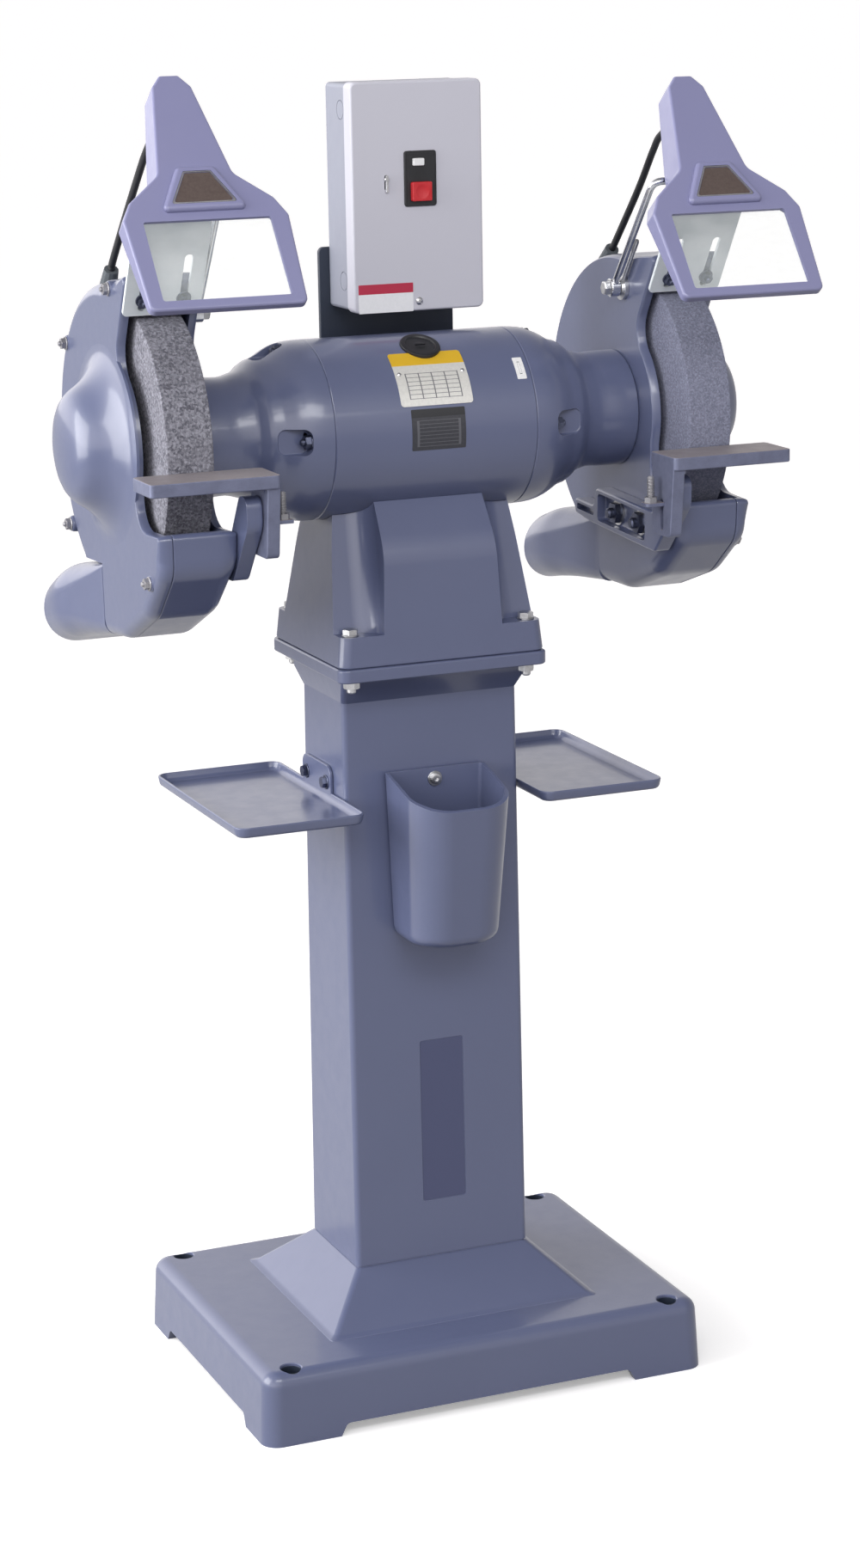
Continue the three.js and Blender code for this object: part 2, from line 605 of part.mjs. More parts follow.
/** Guard housing: wall on the motor's side, rim, mouth wall and flared exhaust spout. */
function guardHousing(sign) {
  const { points } = guardOutline();
  const motorSide = edgeLevels(points, sign * guard.inner, 4, sign, null, 2);
  const body = layered('x', [...motorSide, { at: sign * (guard.seam - seat), points }]);
  const hollow = prism('x', guardHollow(), sign * (guard.inner + guard.wall), sign * (guard.outer + 1));
  const outer = spoutSolid(sign, 0, spout.from, spout.end);
  const inner = spoutSolid(sign, spout.wall, spout.from - 8, spout.end + 1);
  const bore = cylinder('x', sign * (guard.inner - 1), sign * (guard.inner + guard.wall + 1),
    shaft.journal + 9, [0, 0, 0], fitFacets);
  return cut(join(body, outer), hollow, inner, bore);
}

/** Guard cover: edge-rounded plate with a bell-shaped dome over the spindle nut. */
function guardCover(sign) {
  const { points, shares } = guardOutline();
  const rim = edgeLevels(points, sign * guard.outer, cover.round, -sign, shares, 2);
  const slab = layered('x', [...rim, { at: sign * guard.seam, points }]);
  const domeProfile = [
    [guard.outer - 3, cover.dome], [guard.outer, cover.dome - 2], [guard.outer + 5, cover.dome - 14],
    [guard.outer + 14, cover.dome - 28], [guard.outer + 40, cover.dome - 46],
    [cover.domeTop - 3, cover.dome - 56], [cover.domeTop, cover.dome - 68],
  ];
  const dome = turned('x', [
    [sign * (guard.outer - 3), 0], ...domeProfile.map(([x, r]) => [sign * x, r]), [sign * cover.domeTop, 0],
  ], [0, 0, 0], 20);
  const wall = cover.domeWall;
  const domeInside = turned('x', [
    [sign * (guard.seam - 1), 0], [sign * (guard.seam - 1), cover.dome - wall],
    ...domeProfile.filter((_, index) => index % 2 === 1).map(([x, r]) => [sign * (x - wall), r - wall]),
    [sign * (cover.domeTop - wall), 0],
  ], [0, 0, 0], 12);
  const pan = prism('x', guardHollow(), sign * (guard.seam - 1), sign * (guard.outer - guard.wall));
  const notch = block([sign * (guard.seam - 1), spout.from - seat, spout.topZ + seat],
    [sign * (guard.outer + 1), spout.end + 1, spoutEnd.bottomZ - 1]);
  const bossTo = sign * (guard.outer + coverBoss.proud);
  const bosses = coverBosses.map(([y, z]) => (
    cylinder('x', sign * guard.seam, bossTo, coverBoss.radius, [0, y, z], boltFacets)
  ));
  return join(cut(join(slab, dome), pan, domeInside, notch), ...bosses);
}

/** Slotted steel plate on the guard's mouth, square to the shaft's radius. */
function sparkPlate(sign) {
  const centre = sign * (guard.inner + guard.outer) / 2;
  const front = mouth.offset - seat - spark.thickness;
  const blank = rectangle(centre, spark.from + spark.length / 2, spark.width / 2, spark.length / 2, 5);
  const slotMiddle = spark.from + spark.slotIn + spark.slotLength / 2;
  const slots = [-1, 1].map((side) => (
    rectangle(centre + side * spark.slotAt, slotMiddle, spark.slotWidth / 2, spark.slotLength / 2,
      spark.slotWidth / 2, 3)
  ));
  const openings = slots.map((slot) => prism('y', slot, -1, spark.thickness + 1));
  const solid = cut(prism('y', blank, 0, spark.thickness), ...openings);
  const geometry = geometryOf(solid);
  geometry.translate(0, front, 0);
  return geometry.rotateX(radians(90 - mouth.angle));
}

/** Rest bracket: slotted channel along the guard's wall with a thick pad at its front. */
function restBracket(sign) {
  const face = guard.inner - seat;
  const bar = outline([
    [bracket.back, spout.topZ + 5, 8], [bracket.back, bracket.top, 10], [bracket.front + 2, bracket.top, 6],
    [bracket.front - 6, bracketPad.top, 6], [bracketPad.front, bracketPad.top, 8],
    [bracketPad.front, bracket.bottom + 14, 10], [bracketPad.front + 30, bracket.bottom, 10],
    [spout.from - 20, bracket.bottom, 10], [spout.from - 2, spout.topZ + 5, 6],
  ]);
  const body = rounded('x', bar, sign * bracket.from, sign * face, { from: 2 }, 1);
  const troughBottom = spout.topZ + 11;
  const troughTop = bracket.top - 6;
  const troughPlan = rectangle((bracket.back + bracket.front) / 2, (troughBottom + troughTop) / 2,
    (bracket.back - bracket.front) / 2 - 7, (troughTop - troughBottom) / 2, 8);
  const troughFloor = sign * (bracket.from + bracket.depth);
  const trough = rounded('x', troughPlan, sign * (bracket.from - 1), troughFloor, { to: 2 }, 1);
  return cut(body, trough);
}

/** Tool rest: level plate in front of the wheel with a leg down its inner end. */
function toolRest(sign, top) {
  const bottom = top - rest.thickness;
  const table = rounded('z', rectangle(sign * (rest.from + rest.to) / 2, (rest.front + rest.back) / 2,
    (rest.to - rest.from) / 2, (rest.back - rest.front) / 2, 3), bottom, top, { from: 1.5, to: 1.5 }, 1);
  const leg = rounded('x', outline([
    [restLeg.front, bottom + 4, 0], [restLeg.back, bottom + 4, 0],
    [restLeg.back, top - rest.legDrop, 6], [restLeg.front, top - rest.legDrop, 6],
  ]), sign * rest.from, sign * (rest.from + rest.leg), { from: 1, to: 1 }, 1);
  return join(table, leg);
}

function makeGuards() {
  sides.forEach(({ name, sign, restTop }) => {
    const swung = new THREE.Group();
    swung.position.z = shaftZ;
    swung.rotation.x = sign * radians(guard.turn);
    machine.add(swung);
    add(swung, `${name}_guard_housing`, guardHousing(sign), finish.paint);
    add(swung, `${name}_guard_cover`, guardCover(sign), finish.paint);
    add(swung, `${name}_spark_plate`, sparkPlate(sign), finish.steel);
    add(swung, `${name}_rest_bracket`, restBracket(sign), finish.paint);
    add(machine, `${name}_rest`, toolRest(sign, restTop), finish.darkSteel);
  });
}

// ---------------------------------------------------------------- starter

/** Starter's mounting plate, box, wrap-around cover, contactor and push buttons. */
function makeStarter() {
  const sheet = rounded('y', outline([
    [plate.left, plate.bottom, 6], [plate.right, plate.bottom, 6],
    [plate.right, plate.top, 6], [plate.left, plate.top, 6],
  ]), plate.y, plate.y + plate.thickness, {});
  add(machine, 'starter_bracket', sheet, finish.bracketPaint);

  const lidGap = starterLid.wall + seat;
  const boxMid = [(starter.left + starter.right) / 2, (starter.bottom + starter.top) / 2];
  const boxHalf = [(starter.right - starter.left) / 2, (starter.top - starter.bottom) / 2];
  const at = (grow, radius) => rectangle(...boxMid, boxHalf[0] + grow, boxHalf[1] + grow, radius);
  const boxFront = starter.front + lidGap;
  const boxOuter = prism('y', at(-lidGap, starterLid.corner - lidGap), boxFront, starter.back);
  const boxInner = prism('y', at(-lidGap - starter.wall, 4), boxFront - 1, starter.back - starter.wall);
  add(machine, 'starter_box', cut(boxOuter, boxInner), finish.boxPaint);

  const plateMiddle = (buttons.left + buttons.right) / 2;
  const keyHole = ({ x, z, halfX, halfZ }, grow) => rectangle(x, z, halfX + grow, halfZ + grow, 1.2, 1);
  const keyCuts = [startKey, stopKey].map((key) => (
    prism('y', keyHole(key, seat), starter.front - 5, starter.front + 10)
  ));
  const lidOuter = rounded('y', at(0, starterLid.corner), starter.front, starter.front + starterLid.depth,
    { from: 3 });
  const lidInner = prism('y', at(-starterLid.wall, starterLid.corner - starterLid.wall),
    starter.front + starterLid.wall, starter.front + starterLid.depth + 1);
  add(machine, 'starter_cover', cut(lidOuter, lidInner, ...keyCuts), finish.boxPaint);

  const surroundPlan = rectangle(plateMiddle, buttons.z, buttons.right - plateMiddle, buttons.halfZ, 3);
  const surround = rounded('y', surroundPlan, starter.front - seat - 2, starter.front - seat, { from: 1 });
  add(machine, 'button_plate', cut(surround, ...keyCuts), finish.black);

  const keyBack = starter.front + 8;
  const key = (size, proud) => rounded('y', keyHole(size, 0), starter.front - seat - 2 - proud, keyBack,
    { from: 0.8 }, 1);
  add(machine, 'start_button', key(startKey, startKey.proud), finish.white);
  add(machine, 'stop_button', key(stopKey, stopKey.proud), finish.red);

  const contactorFront = keyBack + buttons.travel + 1;
  const low = buttons.z - buttons.halfZ - contactor.below;
  const high = buttons.z + buttons.halfZ + contactor.above;
  const [near, far] = [buttons.left - contactor.sideRoom, buttons.right + contactor.sideRoom];
  const body = block([near, contactorFront, low], [far, starter.back - starter.wall - seat, high]);
  const step = block([near - 1, contactorFront - 1, low - 1],
    [far + 1, contactorFront + contactor.stepDepth, low + contactor.stepHeight]);
  add(machine, 'contactor', cut(body, step), finish.black);
}

// ---------------------------------------------------------------- trays and water pot

/** Shallow pressed tray with an upright tab against the column. */
function swarfTray(sign) {
  const middle = (tray.from + tray.to) / 2;
  const halfX = (tray.to - tray.from) / 2;
  const centreY = (tray.front + tray.back) / 2;
  const halfY = (tray.back - tray.front) / 2;
  const pan = (at, shrink) => ({
    at, points: rectangle(sign * middle, centreY, halfX - shrink, halfY - shrink, tray.corner - shrink),
  });
  const bottom = tray.rim - tray.depth;
  const outer = layered('z', [pan(bottom, 4), pan(bottom + 4, 1), pan(tray.rim - 1, 0), pan(tray.rim, 0.6)]);
  const inner = layered('z', [
    pan(bottom + tray.wall, 4 + tray.wall), pan(bottom + 4 + tray.wall, 1 + tray.wall),
    pan(tray.rim + 1, tray.wall),
  ]);
  const tab = rounded('x', outline([
    [trayTab.centre - trayTab.halfY, bottom + 6, 0], [trayTab.centre + trayTab.halfY, bottom + 6, 0],
    [trayTab.centre + trayTab.halfY, trayTab.top, 12], [trayTab.centre - trayTab.halfY, trayTab.top, 12],
  ]), sign * tray.from, sign * (tray.from + trayTab.thickness), {});
  return join(cut(outer, inner), tab);
}

/** Tapered water pot with a flat back on the column and a rim that falls to the front. */
function waterPot() {
  const ring = (at, share, wall) => {
    const halfX = THREE.MathUtils.lerp(potFoot.halfX, pot.halfX, share) - wall;
    const front = THREE.MathUtils.lerp(potFoot.front, pot.front, share) + wall;
    const back = pot.back - wall;
    const frontRadius = THREE.MathUtils.lerp(20, 38, share);
    return {
      at,
      points: outline([
        [pot.centre - halfX, back, 4], [pot.centre + halfX, back, 4],
        [pot.centre + halfX, front, frontRadius], [pot.centre - halfX, front, frontRadius],
      ], 3),
    };
  };
  const shape = (wall, from, to) => layered('z', [
    ring(from, 0, wall + 6), ring(from + 3, 0.01, wall + 2), ring(from + 9, 0.04, wall), ring(to, 1, wall),
  ]);
  const rimCut = prism('x', outline([
    [pot.back + 1, potRim.backZ], [pot.back + 1, pot.top + 20], [pot.front - 20, pot.top + 20],
    [pot.front - 20, potRim.frontZ - 5], [pot.front + 22, potRim.frontZ + 11, 30],
    [pot.back - 6, potRim.backZ],
  ], 3), -pot.halfX - 5, pot.halfX + 5);
  return cut(shape(0, pot.bottom, pot.top), shape(pot.wall, pot.bottom + pot.wall, pot.top + 1), rimCut);
}

function makeColumnFittings() {
  sides.forEach(({ name, sign }) => add(machine, `${name}_tray`, swarfTray(sign), finish.paint));
  add(machine, 'water_pot', waterPot(), finish.paint);
}

// ---------------------------------------------------------------- lamps

/** Where a point of a lamp's own frame (u, w behind, v up) lies on the machine. */
function lampPoint({ sign, lamp }, u, w, v) {
  const point = new THREE.Vector3(u, w, v).applyAxisAngle(new THREE.Vector3(1, 0, 0), -radians(lampTilt));
  return point.add(new THREE.Vector3(sign * lamp[0], lamp[1], lamp[2]));
}

/** Lamp hood: window frame with a skirt, raised nose and tapered hood, open behind the window. */
function lampHoodSolid(sign) {
  const frontEntries = [
    [-lampFrame.bottomU, lampFrame.bottomV, 7], [lampFrame.bottomU, lampFrame.bottomV, 7],
    [lampFrame.sideU, lampFrame.sideV, 8], [lampFrame.shoulderU, lampFrame.shoulderV, 10],
    [lampHood.lowU + 4, lampHood.lowV - 4, 14], [lampHood.highU, lampHood.highV, 6],
    [lampHood.highU - 11, lampHood.top, 4], [11 - lampHood.highU, lampHood.top, 4],
    [-lampHood.highU, lampHood.highV, 6], [-lampHood.lowU - 4, lampHood.lowV - 4, 14],
    [-lampFrame.shoulderU, lampFrame.shoulderV, 10], [-lampFrame.sideU, lampFrame.sideV, 8],
  ];
  const front = outline(frontEntries, 1);
  const apertureV = lampHood.lowV - 9;
  const side = (wall) => outline([
    [-1, lampFrame.bottomV - 1], [lampSkirt.bottom - wall, lampFrame.bottomV - 1],
    [lampSkirt.top - wall, lampFrame.sideV], [lampHood.depth - wall, apertureV + wall * 0.5],
    [lampHood.depth - wall, lampRod.v + 4, 20], [31 - wall, lampHood.highV, 6],
    [lampHood.topDepth - wall, lampHood.top + 1], [-1, lampHood.top + 1],
  ], 2);
  const wall = lampWindow.wall;
  const shellFront = rounded('y', front, 0, 60, { from: 2.5 }, 1);
  const shell = shellFront.intersect(prism('x', side(0), -100, 100));
  const nose = rounded('y', outline([
    [-lampNose.lowU, lampNose.lowV, 4], [lampNose.lowU, lampNose.lowV, 4],
    [lampHood.lowU - 1, lampHood.lowV + 3, 10], [lampHood.highU - 1, lampHood.highV, 5],
    [lampHood.highU - 11, lampHood.top, 3], [11 - lampHood.highU, lampHood.top, 3],
    [1 - lampHood.highU, lampHood.highV, 5], [1 - lampHood.lowU, lampHood.lowV + 3, 10],
  ], 1), -lampNose.proud, wall + 1, { from: 2.5 }, 1);
  const sharp = frontEntries.map(([u, v]) => new THREE.Vector2(u, v));
  const cavityEntries = inset(sharp, wall + 0.5).map(({ x, y }, index) => (
    [x, y, Math.max(frontEntries[index][2] - wall, 1)]
  ));
  const cavity = prism('y', outline(cavityEntries, 1), wall, 70);
  const inside = outline([
    [wall, lampFrame.bottomV], [70, lampFrame.bottomV], [70, lampFrame.sideV],
    [lampHood.depth + 1, apertureV - 4], [lampHood.depth - wall, apertureV],
    [lampHood.depth - wall, lampRod.v + 4, 16], [31 - wall, lampHood.highV - 3, 4],
    [lampHood.topDepth - wall, lampHood.top - wall - 3], [wall, lampHood.top - wall - 3],
  ], 2);
  const room = cavity.intersect(prism('x', inside, -100, 100));
  const window = prism('y', rectangle(0, 0, lampWindow.halfU, lampWindow.halfV, 3), -1, wall + 1);
  const bossFrom = -sign * lampRod.bossFrom;
  const bossAt = [0, lampRod.w, lampRod.v];
  const boss = cylinder('x', bossFrom, sign * lampRod.bossTo, lampRod.boss, bossAt, fitFacets);
  const holeTo = sign * (lampRod.bossTo - 6);
  const bossHole = cylinder('x', bossFrom - sign, holeTo, lampRod.radius + seat, bossAt, 12);
  return cut(join(cut(join(shell, nose), room, window), boss), bossHole);
}

/** Lamp bulb: a tube with a socket at its upper end. */
function bulbSolid() {
  const { radius, from, to, w } = lampBulb;
  return turned('z', [
    [from, 0], [from + 1.5, radius * 0.6], [from + 5, radius * 0.92], [from + 9, radius],
    [to - 26, radius], [to - 22, radius * 0.8], [to - 20, radius * 0.8], [to, radius * 0.8], [to, 0],
  ], [0, w, 0], 14);
}

/** Lamp arm: hub on the clamp's pin, rod up to the elbow and across into the hood's boss. */
function lampArm(side) {
  const { sign } = side;
  const elbow = lampPoint(side, 0, lampRod.w, lampRod.v);
  const x = sign * lampRod.x;
  const foot = new THREE.Vector3(x, lampPivot.y, lampPivot.z);
  const bend = new THREE.Vector3(x, elbow.y, elbow.z);
  const away = foot.clone().sub(bend).normalize();
  const path = new THREE.CurvePath();
  const start = foot.clone().addScaledVector(away, -lampPivot.hub + 3);
  const bendFrom = bend.clone().addScaledVector(away, 12);
  const bendTo = bend.clone().add(new THREE.Vector3(sign * 12, 0, 0));
  const tip = new THREE.Vector3(sign * (side.lamp[0] + lampRod.bossTo - 8), elbow.y, elbow.z);
  path.add(new THREE.LineCurve3(start, bendFrom));
  path.add(new THREE.QuadraticBezierCurve3(bendFrom, bend, bendTo));
  path.add(new THREE.LineCurve3(bendTo, tip));
  const bar = solidOf(rod(path, lampRod.radius, 8, 12));
  const hub = tube('x', x - 5.5, x + 5.5, lampPivot.hub, 4.3, [0, lampPivot.y, lampPivot.z], 12);
  return join(hub, bar);
}

/** Lamp clamp on the guard's wall: disc, pin, locking head and stub lever. */
function lampClamp({ sign }) {
  const at = [0, lampPivot.y, lampPivot.z];
  const face = sign * (guard.inner - seat);
  const hubOut = lampRod.x + 5.5 + seat;
  const hubIn = lampRod.x - 5.5 - seat;
  const disc = cylinder('x', sign * hubOut, face, 14, at, 20);
  const pin = cylinder('x', sign * (hubIn - 2), sign * (hubOut + 1), 4, at, 12);
  const head = cylinder('x', sign * (hubIn - 7), sign * hubIn, 8, at, 14);
  const leverX = sign * (hubIn - 3.5);
  const lever = solidOf(rod(new THREE.LineCurve3(
    new THREE.Vector3(leverX, lampPivot.y, lampPivot.z),
    new THREE.Vector3(leverX, lampPivot.y - 59, lampPivot.z + 55),
  ), 3.2, 8, 1));
  return join(disc, pin, head, lever);
}

/** A bar of two end radii between two points. */
function taperedBar(from, to, startRadius, endRadius, segments) {
  const along = to.clone().sub(from);
  const geometry = new THREE.CylinderGeometry(endRadius, startRadius, along.length(), segments);
  geometry.applyQuaternion(new THREE.Quaternion().setFromUnitVectors(new THREE.Vector3(0, 1, 0),
    along.clone().normalize()));
  const middle = from.clone().addScaledVector(along, 0.5);
  return solidOf(geometry.translate(middle.x, middle.y, middle.z));
}

/** Angled gland on the guard's back rim and the supply cable from it to the hood. */
function makeCable({ name, sign }) {
  const x = sign * cable.x;
  const route = cableRoutes[name].map(([y, z]) => new THREE.Vector3(x, y, shaftZ + z));
  const [first, second] = route;
  const heading = second.clone().sub(first).normalize();
  const mouthEnd = first.clone().addScaledVector(heading, -seat);
  const elbow = mouthEnd.clone().addScaledVector(heading, -gland.length);
  const shaftPoint = new THREE.Vector3(x, 0, shaftZ);
  const radial = elbow.clone().sub(shaftPoint).normalize();
  const foot = shaftPoint.clone().addScaledVector(radial, guard.back + seat);
  const stem = taperedBar(foot, elbow.clone().addScaledVector(radial, 3), gland.foot, gland.foot, 12);
  const sleeve = taperedBar(elbow, mouthEnd, gland.foot, gland.radius, 12);
  const curve = new THREE.CatmullRomCurve3(route);
  return { elbowGland: join(stem, sleeve), tube: rod(curve, cable.radius, 6, 14) };
}

function makeLamps() {
  sides.forEach((side) => {
    const { name, sign, lamp } = side;
    const tilted = new THREE.Group();
    tilted.position.set(sign * lamp[0], lamp[1], lamp[2]);
    tilted.rotation.x = -radians(lampTilt);
    machine.add(tilted);
    add(tilted, `${name}_lamp_hood`, lampHoodSolid(sign), finish.lampPaint);
    const pane = rectangle(0, 0, lampWindow.halfU + 2, lampWindow.halfV + 2, 3);
    const paneFrom = lampWindow.wall + seat;
    add(tilted, `${name}_lamp_glass`, prism('y', pane, paneFrom, paneFrom + 2), finish.glass);
    add(tilted, `${name}_lamp_bulb`, bulbSolid(), finish.white);
    add(machine, `${name}_lamp_arm`, lampArm(side), finish.chrome);
    add(machine, `${name}_lamp_clamp`, lampClamp(side), finish.steel);
    const { elbowGland, tube: cord } = makeCable(side);
    add(machine, `${name}_cable_gland`, elbowGland, finish.black);
    add(machine, `${name}_lamp_cable`, cord, finish.black);
  });
}

// ---------------------------------------------------------------- assembly

makePedestal();
makeFlangeBolts();
makeBaseHousing();
makeMotor();
makeRotor();
makeGuards();
makeStarter();
makeColumnFittings();
makeLamps();

const grinder = new THREE.Group();
grinder.name = 'bench_grinder';
grinder.add(machine);
grinder.updateMatrixWorld(true);
const bounds = new THREE.Box3().setFromObject(grinder);
const middle = bounds.getCenter(new THREE.Vector3());
machine.position.set(-middle.x, -middle.y, -bounds.min.z);

export default grinder;
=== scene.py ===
"""Looks of the pedestal bench grinder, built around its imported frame.

Every size is in millimetres about the wheel shaft's own axes: x to the right along the shaft, y to the
back, z up from the floor. Meshes are turned to metres in the frame's axes when a piece is finished.
"""
import json
import logging
import math
from dataclasses import dataclass, field
from enum import Enum
from typing import Callable, Iterable, Sequence

import bmesh
import bpy
from mathutils import Matrix, Vector


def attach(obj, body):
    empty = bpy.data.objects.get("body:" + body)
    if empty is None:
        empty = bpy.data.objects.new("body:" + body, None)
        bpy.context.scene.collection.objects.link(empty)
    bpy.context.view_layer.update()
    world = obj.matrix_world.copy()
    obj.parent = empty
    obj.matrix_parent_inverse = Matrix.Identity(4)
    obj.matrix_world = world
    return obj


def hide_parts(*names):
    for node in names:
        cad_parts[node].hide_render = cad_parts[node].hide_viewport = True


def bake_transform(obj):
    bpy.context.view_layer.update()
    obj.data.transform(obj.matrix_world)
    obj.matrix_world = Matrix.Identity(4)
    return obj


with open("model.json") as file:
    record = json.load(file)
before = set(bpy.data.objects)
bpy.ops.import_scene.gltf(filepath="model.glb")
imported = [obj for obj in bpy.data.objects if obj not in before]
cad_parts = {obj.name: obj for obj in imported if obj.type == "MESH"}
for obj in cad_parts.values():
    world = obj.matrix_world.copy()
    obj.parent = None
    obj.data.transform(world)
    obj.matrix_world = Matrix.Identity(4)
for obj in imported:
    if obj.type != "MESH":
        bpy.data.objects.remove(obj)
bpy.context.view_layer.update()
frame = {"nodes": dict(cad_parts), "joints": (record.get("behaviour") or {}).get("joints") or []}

LOG = logging.getLogger("grinder")
JOINTS = {joint["name"]: joint for joint in frame["joints"]}
MM = 0.001
SHAFT_Y = JOINTS["rotor_spin"]["pos_m"][1] / MM
SHAFT_Z = JOINTS["rotor_spin"]["pos_m"][2] / MM
IN_FRAME = Matrix.Scale(MM, 4) @ Matrix.Translation((0.0, SHAFT_Y, 0.0))
AT_SHAFT = Matrix.Translation((0.0, 0.0, SHAFT_Z))
CORNERS = ((-1, -1), (1, -1), (1, 1), (-1, 1))

Ring = list[tuple[float, float]]
Corner = Sequence[float]


class Side(Enum):
    """The two ends of the shaft, seen by the operator."""

    LEFT = -1
    RIGHT = 1

    @property
    def label(self) -> str:
        """The side's name as the frame's nodes and bodies spell it."""
        return self.name.lower()


class Axis(Enum):
    """Directions that a profile is stacked or turned along."""

    X = 0
    Y = 1
    Z = 2


# ---------------------------------------------------------------- outlines


def arc(centre: tuple[float, float], radius: float, start: float, stop: float, steps: int) -> list[Corner]:
    """Corners along an arc.

    Args:
        centre: The arc's middle.
        radius: Its radius.
        start: First angle in degrees.
        stop: Last angle in degrees.
        steps: Number of chords.

    Returns:
        Sharp corners for outline().
    """
    angles = (math.radians(start + (stop - start) * step / steps) for step in range(steps + 1))
    return [(centre[0] + radius * math.cos(a), centre[1] + radius * math.sin(a), 0.0) for a in angles]


def outline(corners: Sequence[Corner], steps: int = 7) -> Ring:
    """A closed outline with rounded corners.

    Args:
        corners: Entries (a, b) or (a, b, radius).
        steps: Chords in each rounded corner.

    Returns:
        The outline's points in order.
    """
    ring: Ring = []
    for index, corner in enumerate(corners):
        here = Vector(corner[:2])
        radius = corner[2] if len(corner) > 2 else 0.0
        if radius == 0.0:
            ring.append(tuple(here))
            continue
        back = (Vector(corners[index - 1][:2]) - here).normalized()
        ahead = (Vector(corners[(index + 1) % len(corners)][:2]) - here).normalized()
        half = math.acos(max(-1.0, min(1.0, back.dot(ahead)))) / 2
        centre = here + (back + ahead).normalized() * radius / math.sin(half)
        spoke = here + back * radius / math.tan(half) - centre
        turn = math.pi - 2 * half
        if back.x * ahead.y - back.y * ahead.x > 0:
            turn = -turn
        for step in range(steps + 1):
            spun = Matrix.Rotation(turn * step / steps, 2) @ spoke
            ring.append(tuple(centre + spun))
    return ring


def rectangle(a: float, b: float, half_a: float, half_b: float, radius: float = 0.0, steps: int = 6) -> Ring:
    """A rounded rectangle.

    Args:
        a: Centre along the first axis.
        b: Centre along the second axis.
        half_a: Half size along the first axis.
        half_b: Half size along the second axis.
        radius: Corner radius.
        steps: Chords in each corner.

    Returns:
        The outline's points.
    """
    near = min(radius, 0.985 * half_a, 0.985 * half_b)
    return outline([(a + x * half_a, b + y * half_b, near) for x, y in CORNERS], steps)


def circle(radius: float, steps: int = 48, at: tuple[float, float] = (0.0, 0.0)) -> Ring:
    """A round outline about a point."""
    return [corner[:2] for corner in arc(at, radius, 0.0, 360.0 - 360.0 / steps, steps - 1)]


def flowing(rows: Sequence[Sequence[float]], steps: int = 8) -> list[Vector]:
    """A smooth run of rows through given ones.

    Args:
        rows: Rows of numbers, such as points or section sizes.
        steps: Rows from each given row to the next.

    Returns:
        The given rows with smooth ones between them.
    """
    given = [Vector(row) for row in rows]
    padded = [given[0] * 2 - given[1], *given, given[-1] * 2 - given[-2]]
    made = []
    for a, b, c, d in zip(padded, padded[1:], padded[2:], padded[3:]):
        for step in range(steps):
            t = step / steps
            made.append(0.5 * (b * 2 + (c - a) * t + (a * 2 - b * 5 + c * 4 - d) * t ** 2
                               + (b * 3 - a - c * 3 + d) * t ** 3))
    return made + [given[-1]]


def eased_bend(first: Vector, corner: Vector, last: Vector, steps: int = 8) -> list[Vector]:
    """Points of the soft bend that leaves a corner out.

    Args:
        first: Where the bend starts.
        corner: The sharp corner.
        last: Where it ends.
        steps: Steps of the bend.

    Returns:
        The points, with both ends.
    """
    shares = [step / steps for step in range(steps + 1)]
    return [first * (1 - share) ** 2 + corner * 2 * share * (1 - share) + last * share ** 2
            for share in shares]


def clockwise(ring: Ring) -> bool:
    """Whether an outline runs clockwise."""
    pairs = zip(ring, ring[1:] + ring[:1])
    return sum(x0 * y1 - x1 * y0 for (x0, y0), (x1, y1) in pairs) < 0


def inset(ring: Ring, distance: float, shares: Sequence[float] | None = None) -> Ring:
    """An outline moved inward.

    Args:
        ring: The outline.
        distance: How far inward.
        shares: The part of the distance that each point takes, or None for all of it.

    Returns:
        The smaller outline, with as many points.
    """
    sign = -1 if clockwise(ring) else 1
    moved: Ring = []
    for index, point in enumerate(ring):
        here = Vector(point)
        into = (here - Vector(ring[index - 1])).normalized()
        away = (Vector(ring[(index + 1) % len(ring)]) - here).normalized()
        normal = Vector((-into.y - away.y, into.x + away.x)).normalized()
        stretch = 1 / max(normal.dot(Vector((-into.y, into.x))), 0.5)
        share = 1.0 if shares is None else shares[index]
        moved.append(tuple(here + normal * sign * distance * share * stretch))
    return moved


# ---------------------------------------------------------------- solids


